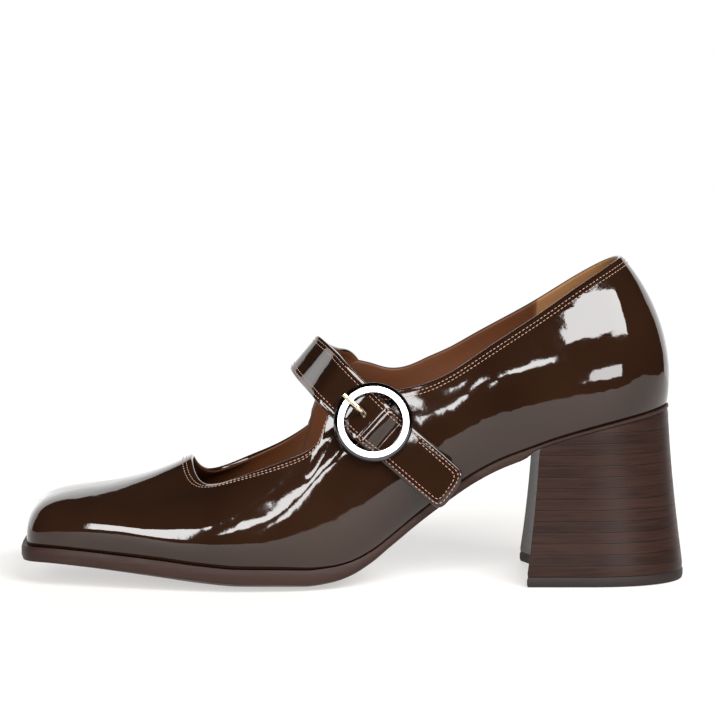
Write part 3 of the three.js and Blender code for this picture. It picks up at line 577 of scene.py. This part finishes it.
def buildRing():
    section = softLoop(buckle["section"], buckle["soft"])
    count = len(section)

    def mapping(u, v):
        angle = u * 2 * math.pi
        out, rise = section[np.round(v * count).astype(int) % count].T
        return atBuckle(out * np.cos(angle), out * np.sin(angle), ringHeight + rise)

    return mappedGrid("ringMetal", 144, count, mapping)


def tubeThrough(name, points, radius, resolution=10):
    curve = bpy.data.curves.new(name, "CURVE")
    curve.dimensions = "3D"
    curve.bevel_depth = radius / 1000
    curve.bevel_resolution = 4
    curve.resolution_u = resolution
    curve.use_fill_caps = True
    line = curve.splines.new("BEZIER")
    line.bezier_points.add(len(points) - 1)
    for point, place in zip(line.bezier_points, points):
        point.co = toScene(place)
        point.handle_left_type = point.handle_right_type = "AUTO"
    obj = bpy.data.objects.new(name, curve)
    bpy.context.scene.collection.objects.link(obj)
    pick(obj)
    bpy.ops.object.convert(target="MESH")
    obj = bpy.context.object
    tidyShell(obj, 1e-7)
    return obj


ring = buildRing()
reach = buckle["diameter"] / 2 - buckle["band"] / 2
barHalf = ((reach, ringHeight - 0.2), (buckle["barReach"], barHeight), (4, barHeight))
barPoints = [(-across, away) for across, away in barHalf] + list(reversed(barHalf))
bar = tubeThrough("barMetal", [atBuckle(0, across, away) for across, away in barPoints], buckle["bar"] / 2)
rest = ringHeight + buckle["depth"] / 2 + shoe["gap"] + buckle["prong"] / 2
prongPoints = ((2.1, barHeight - 0.2), (4.6, barHeight + 1.9), (6.8, rest - 0.5), (11.2, rest - 0.1),
               (14.9, rest - 0.2))
prong = tubeThrough("prongMetal", [atBuckle(along, 0, away) for along, away in prongPoints],
                    buckle["prong"] / 2)
print("buckle built")

# sole, sock, heel and top piece
soleLook = {"along": 150, "across": 20, "side": 4, "round": 0.5}
sockLook = {"thick": 1.6, "inset": 2.5}
heelRows = named(["down", "back", "front", "half", "rounded", "square"], [
    (0.00, 0.0245, 0.2220, 0.327, 0.70, 2.00), (0.25, 0.0205, 0.2250, 0.331, 0.68, 2.06),
    (0.50, 0.0150, 0.2290, 0.338, 0.66, 2.14), (0.75, 0.0080, 0.2340, 0.347, 0.64, 2.22),
    (1.00, 0.0000, 0.2400, 0.358, 0.62, 2.30)])
heelLook = {"hollow": 7, "sideHollow": 0.8, "topPiece": 3.6, "seatGap": 0.1, "pieceGap": 0.05,
            "corner": 0.10, "fold": 0.72, "around": 200, "cap": 5, "levels": 30, "pieceLevels": 4,
            "breast": 0.8}


# plate inside a plan outline between two heights, with softly rounded edges
def buildPlate(name, edge, topOf, bottomOf, rounding):
    k = soleLook
    ringCount = 2 * (k["across"] + k["side"])
    marks = np.cumsum([k["across"], k["side"], k["across"], k["side"]]) / ringCount

    def mapping(u, v):
        t = 0.25 * (1 - np.cos(math.pi * u)) * 0.6 + 0.5 * u * 0.4
        top, low = v <= marks[0], (v >= marks[1]) & (v <= marks[2])
        s = np.where(top, v / marks[0], np.where(low, 1 - (v - marks[1]) / (marks[2] - marks[1]),
                                                 np.where(v < marks[1], 1.0, 0.0)))
        wall = np.where(v < marks[1], (v - marks[0]) / (marks[1] - marks[0]),
                        1 - (v - marks[2]) / (1 - marks[2]))
        down = np.where(top, 0.0, np.where(low, 1.0, np.clip(wall, 0, 1)))
        inset = rounding * (1 - np.sqrt(np.clip(1 - (2 * down - 1) ** 4, 0, 1)))
        ox, oy = edge(t, -inset)
        ix, iy = edge(1 - t, -inset)
        x, y = ox + (ix - ox) * s, oy + (iy - oy) * s
        z = topOf(x, y) * (1 - down) + bottomOf(x, y) * down
        return np.stack([x, y, z], -1)

    obj = mappedGrid(name, k["along"], ringCount, mapping)
    pick(obj)
    bpy.ops.object.shade_smooth_by_angle(angle=math.radians(50))
    return obj


outsole = buildPlate("outsoleLeather", lambda t, out: outline(t, marginOf(t) + out), soleTop,
                     lambda x, y: soleTop(x, y) - thickOf(x), soleLook["round"])
sock = buildPlate("sockLeather", lambda t, out: outline(t, out - sockLook["inset"]),
                  lambda x, y: soleTop(x, y) + shoe["gap"] + sockLook["thick"],
                  lambda x, y: soleTop(x, y) + shoe["gap"], 0.2)
heelCurves = {name: openCurve(heelRows["down"], heelRows[name] * scale) for name, scale in
              (("back", shoeLong), ("front", shoeLong), ("half", shoeWide), ("rounded", 1), ("square", 1))}


# outline of the heel at a height: round the back for s up to the fold, then across the hollowed front
def heelOutline(down, s):
    back, front = heelCurves["back"](down), heelCurves["front"](down)
    half = heelCurves["half"](down) - heelLook["sideHollow"] * np.sin(math.pi * down)
    bend = back + (front - back) * heelCurves["rounded"](down)
    power = 2 / heelCurves["square"](down)
    corner, fold = heelLook["corner"], heelLook["fold"]
    angle = np.clip((s - corner) / (fold - 2 * corner), 0, 1) * math.pi - math.pi / 2
    cos, sin = np.cos(angle), np.sin(angle)
    x = bend - (bend - back) * np.abs(cos) ** power
    y = half * np.sign(sin) * np.abs(sin) ** power
    x = np.where(s < corner, front + (bend - front) * s / corner, x)
    x = np.where((s > fold - corner) & (s < fold), bend + (front - bend) * (s - fold + corner) / corner, x)
    y = np.where(s < corner, -half, np.where((s > fold - corner) & (s < fold), half, y))
    share = np.clip((s - fold) / (1 - fold), 0, 1)
    x = np.where(s >= fold, front - heelLook["hollow"] * (1 - (1 - 2 * share) ** 2), x)
    y = np.where(s >= fold, half * (1 - 2 * share), y)
    return x, y


def buildHeelPiece(name, lowOf, highOf, downOf, levels):
    cap, around = heelLook["cap"], heelLook["around"]
    total = levels + 2 * cap

    def mapping(u, v):
        row = v * total
        rise = np.clip((row - cap) / levels, 0, 1)
        shrink = np.where(row < cap, row / cap, np.where(row > cap + levels, (total - row) / cap, 1.0))
        s = np.round(u * around) / around
        x, y = heelOutline(downOf(rise), s % 1.0)
        middleX = (heelCurves["back"](downOf(rise)) + heelCurves["front"](downOf(rise))) / 2 - 2
        soft = np.clip(np.minimum(row - cap, cap + levels - row), 0, 1)
        pull = (shrink ** 0.5) * (1 - 0.010 * (1 - soft))
        x, y = middleX + (x - middleX) * pull, y * pull
        z = lowOf(x, y) * (1 - rise) + highOf(x, y) * rise
        return np.stack([x, y, z], -1)

    obj = mappedGrid(name, around, total, mapping)
    pick(obj)
    bpy.ops.object.shade_smooth_by_angle(angle=math.radians(35))
    return obj


heelFloor = heelLook["topPiece"] + heelLook["pieceGap"]
heelBlock = buildHeelPiece("heelStack", lambda x, y: heelFloor + 0 * x,
                           lambda x, y: soleTop(x, y) - thickOf(x) - heelLook["seatGap"],
                           lambda rise: 1 - rise, heelLook["levels"])
topPiece = buildHeelPiece("heelTopPiece", lambda x, y: 0 * x, lambda x, y: heelLook["topPiece"] + 0 * x,
                          lambda rise: 1 + 0 * rise, heelLook["pieceLevels"])
print("sole and heel built")


# stitches: short rounded threads laid along a line of points with their outward directions
stitchLook = {"pitch": 1.6, "long": 1.15, "thick": 0.16, "rows": (1.3, 2.7), "sink": 0.04}


def oneStitch():
    deselect()
    bpy.ops.mesh.primitive_uv_sphere_add(segments=6, ring_count=6, radius=1, rotation=(0, math.pi / 2, 0))
    bpy.ops.object.transform_apply(location=False, rotation=True, scale=False)
    obj = bpy.context.object
    for v in obj.data.vertices:  # ends dive into the leather
        v.co.z -= 0.9 * v.co.x ** 4
    return obj


def layStitches(name, lines):
    first = oneStitch()
    copies = []
    for line, outs in lines:
        reach = np.concatenate([[0], np.cumsum(np.linalg.norm(np.diff(line, axis=0), axis=1))])
        count = max(1, int(reach[-1] / stitchLook["pitch"]))
        for place in (np.arange(count) + 0.5) / count * reach[-1]:
            low, high = place - stitchLook["long"] / 2, place + stitchLook["long"] / 2
            a = np.array([np.interp(low, reach, line[:, i]) for i in range(3)])
            b = np.array([np.interp(high, reach, line[:, i]) for i in range(3)])
            out = unit(np.array([np.interp(place, reach, outs[:, i]) for i in range(3)]))
            along = unit(b - a)
            side = np.cross(out, along)
            centre = toScene((a + b) / 2 + out * stitchLook["sink"])
            turn = np.eye(4)
            turn[:3, 0] = along * np.linalg.norm(b - a) / 2000
            turn[:3, 1] = side * stitchLook["thick"] / 1000
            turn[:3, 2] = out * stitchLook["thick"] / 1000
            turn[:3, 3] = centre
            mesh = first.data.copy()
            mesh.transform(Matrix(turn.tolist()))
            copy = bpy.data.objects.new(name, mesh)
            bpy.context.scene.collection.objects.link(copy)
            copies.append(copy)
    bpy.data.objects.remove(first)
    deselect()
    for copy in copies:
        copy.select_set(True)
    bpy.context.view_layer.objects.active = copies[0]
    bpy.ops.object.join()
    obj = bpy.context.object
    obj.name = name
    tidyShell(obj, 1e-9)
    return obj


def toplineRow(distance, start=0.0, end=1.0):
    t = np.linspace(start, end, 1200)
    size = np.linalg.norm(upperFace(t, 1.0) - upperFace(t, 0.99), axis=-1) * 100
    w = 1 - distance / size
    return upperFace(t, w), upperNormal(t, w)


# one row down one edge of the strap, round its end and back up the other edge
def strapRow(distance):
    k = strapLook
    last = k["end"] - distance / k["span"]
    turn = np.linspace(0, math.pi / 2, 60)
    edge = np.linspace(0, k["tail"], 299, endpoint=False)
    down = np.concatenate([edge, k["tail"] + (last - k["tail"]) * np.sin(turn) ** (2 / k["square"])])
    wide = np.concatenate([np.ones(len(edge)), np.abs(np.cos(turn)) ** (2 / k["square"])])
    t, share = np.concatenate([down, down[-2::-1]]), np.concatenate([-wide, wide[-2::-1]])
    half = np.linalg.norm(strapFront(t) - strapBack(t), axis=-1) / 2
    a = share * (1 - distance / half)
    normal = strapNormal(t, a)[0]
    return strapMiddle(t, a) + normal * k["thick"] / 2, normal


lines = []
for distance in stitchLook["rows"]:
    lines.append(toplineRow(distance, 0.0, 0.722))
    lines.append(toplineRow(distance, 0.748, 1.0))
    lines.append(strapRow(distance))
stitches = layStitches("stitches", lines)
print("stitches laid", len(stitches.data.polygons))


# materials
# the darker silver in this table is painted shade: a shaded copy of the silver for the ring's side faces and
# the bar
finish = {"patent": (0.0112, 0.0045, 0.0022), "patentWarm": (0.0165, 0.0066, 0.0033),
          "cognac": (0.080, 0.025, 0.008), "camel": (0.24, 0.115, 0.045), "seam": (0.10, 0.035, 0.012),
          "thread": (0.34, 0.215, 0.165), "silver": (0.96, 0.96, 0.96), "silverPaintedShade": (0.11, 0.11, 0.12),
          "gold": (0.88, 0.74, 0.50), "stack": (0.0105, 0.0058, 0.0045), "stackRed": (0.026, 0.0115, 0.0082),
          "groove": (0.0055, 0.0029, 0.0023), "breast": (0.030, 0.022, 0.019),
          "sole": (0.024, 0.0130, 0.0105), "soleWorn": (0.033, 0.0185, 0.0150),
          "rubber": (0.016, 0.0115, 0.0100)}


def newMaterial(name, color, roughness, metallic=0.0, shine=0.5):
    material = bpy.data.materials.new(name)
    material.use_nodes = True
    shader = material.node_tree.nodes["Principled BSDF"]
    for key, value in (("Base Color", (*color, 1)), ("Roughness", roughness), ("Metallic", metallic),
                       ("Specular IOR Level", shine)):
        shader.inputs[key].default_value = value
    return material, material.node_tree, shader


# links an output, or sets a plain value
def feed(tree, value, socket):
    if isinstance(value, bpy.types.NodeSocket):
        tree.links.new(value, socket)
    else:
        socket.default_value = value


def objectSpot(tree, scale=(1, 1, 1)):
    coords = tree.nodes.new("ShaderNodeTexCoord")
    mapping = tree.nodes.new("ShaderNodeMapping")
    mapping.inputs["Scale"].default_value = scale
    tree.links.new(coords.outputs["Object"], mapping.inputs["Vector"])
    return mapping.outputs["Vector"]


def noise(tree, spot, scale, detail=3.0, rough=0.5):
    node = tree.nodes.new("ShaderNodeTexNoise")
    for key, value in (("Vector", spot), ("Scale", scale), ("Detail", detail), ("Roughness", rough)):
        feed(tree, value, node.inputs[key])
    return node.outputs["Fac"]


def span(tree, value, low, high, outLow=0.0, outHigh=1.0):
    node = tree.nodes.new("ShaderNodeMapRange")
    for key, number in (("Value", value), ("From Min", low), ("From Max", high), ("To Min", outLow),
                        ("To Max", outHigh)):
        feed(tree, number, node.inputs[key])
    return node.outputs["Result"]


def mathNode(tree, operation, a, b=0.0):
    node = tree.nodes.new("ShaderNodeMath")
    node.operation = operation
    feed(tree, a, node.inputs[0])
    feed(tree, b, node.inputs[1])
    return node.outputs[0]


def mixColor(tree, share, a, b):
    node = tree.nodes.new("ShaderNodeMix")
    node.data_type = "RGBA"
    feed(tree, share, node.inputs[0])
    feed(tree, (*a, 1) if isinstance(a, tuple) else a, node.inputs[6])
    feed(tree, (*b, 1) if isinstance(b, tuple) else b, node.inputs[7])
    return node.outputs[2]


def bump(tree, shader, height, distance, strength):
    node = tree.nodes.new("ShaderNodeBump")
    for key, value in (("Distance", distance), ("Strength", strength), ("Height", height)):
        feed(tree, value, node.inputs[key])
    tree.links.new(node.outputs["Normal"], shader.inputs["Normal"])


# clouds, fine grain and streaks along the layers, for all the materials
def grainGroup():
    group = bpy.data.node_groups.new("surfaceGrain", "ShaderNodeTree")
    for key in ("Cloud Scale", "Grain Scale", "Streak Scale"):
        group.interface.new_socket(name=key, in_out="INPUT", socket_type="NodeSocketFloat")
    for key in ("Cloud", "Grain", "Streaks"):
        group.interface.new_socket(name=key, in_out="OUTPUT", socket_type="NodeSocketFloat")
    given, result = group.nodes.new("NodeGroupInput"), group.nodes.new("NodeGroupOutput")
    spot = objectSpot(group)
    cloud = span(group, noise(group, spot, given.outputs["Cloud Scale"], 2), 0.3, 0.7)
    grain = noise(group, spot, given.outputs["Grain Scale"], 3)
    streaks = noise(group, objectSpot(group, (14, 14, 300)), given.outputs["Streak Scale"], 5, 0.65)
    for key, value in (("Cloud", cloud), ("Grain", grain), ("Streaks", streaks)):
        group.links.new(value, result.inputs[key])
    return group


surfaceGrain = grainGroup()


def useGrain(tree, cloud, grain, streaks=4.0):
    node = tree.nodes.new("ShaderNodeGroup")
    node.node_tree = surfaceGrain
    for key, value in (("Cloud Scale", cloud), ("Grain Scale", grain), ("Streak Scale", streaks)):
        node.inputs[key].default_value = value
    return node.outputs


def patentMaterial(name):
    material, tree, shader = newMaterial(name, finish["patent"], 0.06)
    grain = useGrain(tree, 28, 900)
    base = mixColor(tree, grain["Cloud"], finish["patent"], finish["patentWarm"])
    tree.links.new(base, shader.inputs["Base Color"])
    tree.links.new(span(tree, grain["Cloud"], 0, 1, 0.035, 0.07), shader.inputs["Roughness"])
    wave = mathNode(tree, "ADD", noise(tree, objectSpot(tree), 70, 2),
                    mathNode(tree, "MULTIPLY", grain["Grain"], 0.03))
    bump(tree, shader, wave, 0.00055, 0.45)
    return material


def liningMaterial(name):
    material, tree, shader = newMaterial(name, finish["cognac"], 0.55, shine=0.25)
    grain = useGrain(tree, 60, 1400)
    split = tree.nodes.new("ShaderNodeSeparateXYZ")
    tree.links.new(objectSpot(tree), split.inputs[0])
    seamX = float(toScene([55, 0, 0])[0])
    back = span(tree, split.outputs["X"], seamX + 0.0004, seamX - 0.0004)
    cognac = mixColor(tree, grain["Cloud"], finish["cognac"], tuple(0.8 * c for c in finish["cognac"]))
    camel = mixColor(tree, grain["Cloud"], finish["camel"], tuple(0.85 * c for c in finish["camel"]))
    away = mathNode(tree, "ABSOLUTE", mathNode(tree, "SUBTRACT", split.outputs["X"], seamX))
    seam = span(tree, away, 0.0002, 0.0009, 1.0, 0.0)
    both = mixColor(tree, back, cognac, camel)
    tree.links.new(mixColor(tree, seam, both, finish["seam"]), shader.inputs["Base Color"])
    tree.links.new(span(tree, grain["Cloud"], 0, 1, 0.45, 0.62), shader.inputs["Roughness"])
    height = mathNode(tree, "SUBTRACT", grain["Grain"], mathNode(tree, "MULTIPLY", seam, 3.0))
    bump(tree, shader, height, 0.00012, 0.5)
    return material


def stackMaterial(name):
    material, tree, shader = newMaterial(name, finish["stack"], 0.4, shine=0.09)
    streaks = useGrain(tree, 60, 600, 4.0)["Streaks"]
    split = tree.nodes.new("ShaderNodeSeparateXYZ")
    tree.links.new(objectSpot(tree), split.inputs[0])
    layers = mathNode(tree, "DIVIDE", mathNode(tree, "SUBTRACT", split.outputs["Z"], 0.0037), 0.0041)
    inside = mathNode(tree, "ABSOLUTE", mathNode(tree, "SUBTRACT", mathNode(tree, "FRACT", layers), 0.5))
    groove = span(tree, inside, 0.455, 0.485)
    tone = tree.nodes.new("ShaderNodeTexWhiteNoise")
    tone.noise_dimensions = "1D"
    tree.links.new(mathNode(tree, "FLOOR", layers), tone.inputs["W"])
    share = mathNode(tree, "ADD", mathNode(tree, "MULTIPLY", tone.outputs["Value"], 0.35),
                  span(tree, streaks, 0.35, 0.7, 0, 0.75))
    wood = mixColor(tree, share, finish["stack"], finish["stackRed"])
    tree.links.new(mixColor(tree, groove, wood, finish["groove"]), shader.inputs["Base Color"])
    tree.links.new(span(tree, streaks, 0.3, 0.7, 0.30, 0.45), shader.inputs["Roughness"])
    height = mathNode(tree, "SUBTRACT", mathNode(tree, "MULTIPLY", streaks, 0.3), groove)
    bump(tree, shader, height, 0.00012, 0.5)
    return material


def edgeMaterial(name):
    material, tree, shader = newMaterial(name, finish["sole"], 0.45, shine=0.09)
    grain = useGrain(tree, 90, 600, 4.3)
    worn = mathNode(tree, "MULTIPLY", span(tree, grain["Streaks"], 0.35, 0.7),
                    span(tree, grain["Cloud"], 0, 1, 0.4, 1.0))
    tree.links.new(mixColor(tree, worn, finish["sole"], finish["soleWorn"]), shader.inputs["Base Color"])
    tree.links.new(span(tree, grain["Cloud"], 0, 1, 0.38, 0.55), shader.inputs["Roughness"])
    bump(tree, shader, mathNode(tree, "ADD", grain["Streaks"], grain["Grain"]), 0.00008, 0.5)
    return material


def plainMaterial(name, color, roughness, metallic=0.0, scale=600, depth=0.00004, spread=0.06, shine=0.15):
    material, tree, shader = newMaterial(name, color, roughness, metallic, 0.5 if metallic else shine)
    grain = useGrain(tree, scale / 12, scale)
    base = mixColor(tree, grain["Cloud"], color, tuple(0.88 * c for c in color))
    tree.links.new(base, shader.inputs["Base Color"])
    tree.links.new(span(tree, grain["Grain"], 0.3, 0.7, max(0.02, roughness - spread), roughness + spread),
                   shader.inputs["Roughness"])
    bump(tree, shader, grain["Grain"], depth, 0.4)
    return material


patentLeather = patentMaterial("patentLeather")
strapPatent = patentMaterial("strapPatent")
breastLeather = plainMaterial("breastLeather", finish["breast"], 0.32, 0, 700, 0.00005, shine=0.6)
liningLeather = liningMaterial("liningLeather")
soleEdge = edgeMaterial("soleEdge")
stackedLeather = stackMaterial("stackedLeather")
wearRubber = plainMaterial("wearRubber", finish["rubber"], 0.55, 0, 500, 0.0001)
silverMetal = plainMaterial("silverMetal", finish["silver"], 0.42, 1.0, 900, 0.00001, 0.04)
# a darker, shaded copy of the silver: painted shade for the ring's side faces and the bar
silverPaintedShade = plainMaterial("silverPaintedShade", finish["silverPaintedShade"], 0.10, 1.0, 900, 0.00001, 0.03)
goldMetal = plainMaterial("goldMetal", finish["gold"], 0.2, 1.0, 900, 0.00001, 0.04)
sewingThread = plainMaterial("sewingThread", finish["thread"], 0.6, 0, 3500, 0.0001)


def dress(obj, *materials):
    marks = [p.material_index for p in obj.data.polygons]
    obj.data.materials.clear()
    for material in materials:
        obj.data.materials.append(material)
    obj.data.polygons.foreach_set("material_index", [min(m, len(materials) - 1) for m in marks])


def place(obj, node, slotName):
    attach(obj, "root")
    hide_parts(node)


for obj, materials, node, slotName in (
        (upper, (patentLeather, liningLeather), "upper", "patent"),
        (strap, (strapPatent, liningLeather), "strap", "patent"),
        (stitches, (sewingThread,), "upper", "patent"),
        (ring, (silverMetal, silverPaintedShade), "buckle_ring", "silver"),
        (bar, (silverPaintedShade,), "buckle_ring", "silver"), (prong, (goldMetal,), "buckle_prong", "pin"),
        (outsole, (soleEdge,), "outsole", "sole"), (sock, (liningLeather,), "insole", "sock"),
        (heelBlock, (stackedLeather, breastLeather), "heel_block", "stack"),
        (topPiece, (wearRubber,), "top_piece", "wear")):
    if obj is heelBlock:
        for face in obj.data.polygons:
            face.material_index = int(face.normal.x > heelLook["breast"])
    # the ring's faces that turn away from its flat face get the darker silver: painted shade for the dark
    # side of the band
    if obj is ring:
        for face in obj.data.polygons:
            face.material_index = int(np.dot(face.normal, buckleAway) < buckle["flat"])
    dress(obj, *materials)
    place(obj, node, slotName)
print("materials done")

# floor, lights and camera
stageLook = {"floor": (0.40, 0.39, 0.38), "glowColor": (1, 0.98, 0.96, 1), "glow": 0.52,
             "surround": (0.030, 0.024, 0.020), "width": 1.6, "front": 0.25, "back": -0.45, "under": 0.0002,
             "boxDistance": 1.5, "backdropWidth": 1.5, "backdropHeight": 0.33, "backdropAlong": 0.1,
             "backdropBright": 1.5}
viewLook = {"target": (122.97, 0, 82.6), "rise": 6.6, "distance": 1.3, "sensor": 36, "lens": 3467 / 713}
targetPoint = Vector(toScene(viewLook["target"]).tolist())
viewRise = math.radians(viewLook["rise"])
eye = targetPoint + Vector((0, math.cos(viewRise), math.sin(viewRise))) * viewLook["distance"]

deselect()
bpy.ops.mesh.primitive_plane_add(size=1)
floor = bpy.context.object
floor.name = "floor"
floor.scale = (stageLook["width"], stageLook["front"] - stageLook["back"], 1)
floor.location = (0, (stageLook["front"] + stageLook["back"]) / 2, -stageLook["under"])
bpy.ops.object.transform_apply(location=True, rotation=False, scale=True)
floorPaint, floorTree, floorShader = newMaterial("floorPaint", stageLook["floor"], 0.6)
floorShader.inputs["Emission Color"].default_value = stageLook["glowColor"]
floorShader.inputs["Emission Strength"].default_value = stageLook["glow"]
floor.data.materials.append(floorPaint)

world = bpy.data.worlds.new("studio")
bpy.context.scene.world = world
world.use_nodes = True
tree = world.node_tree
white = tree.nodes["Background"]
white.inputs["Color"].default_value = (1, 1, 1, 1)
dark = tree.nodes.new("ShaderNodeBackground")
dark.inputs["Color"].default_value = (*stageLook["surround"], 1)
seen = tree.nodes.new("ShaderNodeLightPath")
both = tree.nodes.new("ShaderNodeMixShader")
tree.links.new(seen.outputs["Is Camera Ray"], both.inputs["Fac"])
tree.links.new(dark.outputs[0], both.inputs[1])
tree.links.new(white.outputs[0], both.inputs[2])
tree.links.new(both.outputs[0], tree.nodes["World Output"].inputs["Surface"])

# soft boxes by direction from the shoe: degrees round from the camera side towards the toe, degrees up,
# angular width and height, brightness
softBoxes = {"heelWindow": (-31, 37, 44, 24, 17), "toeWindow": (30, 18, 16, 24, 18),
             "vampWindow": (9.5, 18, 9, 9, 18), "ringWindow": (0, 8.5, 4.5, 7, 18),
             "earWindow": (-5, 16.3, 5, 3.6, 18), "lowWindow": (-29.5, 2, 23, 10, 14)}
for name, (around, rise, wide, high, bright) in softBoxes.items():
    a, e, far = math.radians(around), math.radians(rise), stageLook["boxDistance"]
    data = bpy.data.lights.new(name, "AREA")
    data.shape = "RECTANGLE"
    data.size, data.size_y = (2 * far * math.tan(math.radians(v) / 2) for v in (wide, high))
    data.energy = bright * math.pi * data.size * data.size_y
    light = bpy.data.objects.new(name, data)
    bpy.context.scene.collection.objects.link(light)
    way = Vector((math.sin(a) * math.cos(e), math.cos(a) * math.cos(e), math.sin(e)))
    light.location = Vector((0, 0, 0.05)) + way * far
    light.rotation_euler = (-way).to_track_quat("-Z", "Y").to_euler()
    light.visible_camera = False

data = bpy.data.lights.new("backdrop", "AREA")
data.shape = "RECTANGLE"
data.size, data.size_y = stageLook["backdropWidth"], stageLook["backdropHeight"]
data.energy = stageLook["backdropBright"] * math.pi * data.size * data.size_y
backdrop = bpy.data.objects.new("backdrop", data)
bpy.context.scene.collection.objects.link(backdrop)
backdrop.location = (stageLook["backdropAlong"], stageLook["back"], stageLook["backdropHeight"] / 2)
backdrop.rotation_euler = Vector((0, 1, 0)).to_track_quat("-Z", "Y").to_euler()
backdrop.visible_camera = False

camera = bpy.data.objects.new("camera", bpy.data.cameras.new("camera"))
bpy.context.scene.collection.objects.link(camera)
camera.location = eye
camera.rotation_euler = (math.pi / 2 - viewRise, 0, math.pi)
camera.data.sensor_fit = "HORIZONTAL"
camera.data.sensor_width = viewLook["sensor"]
camera.data.lens = viewLook["lens"] * viewLook["sensor"]
camera.data.clip_end = 50
bpy.context.scene.camera = camera
bpy.context.scene.view_settings.view_transform = "Standard"
print("stage ready")
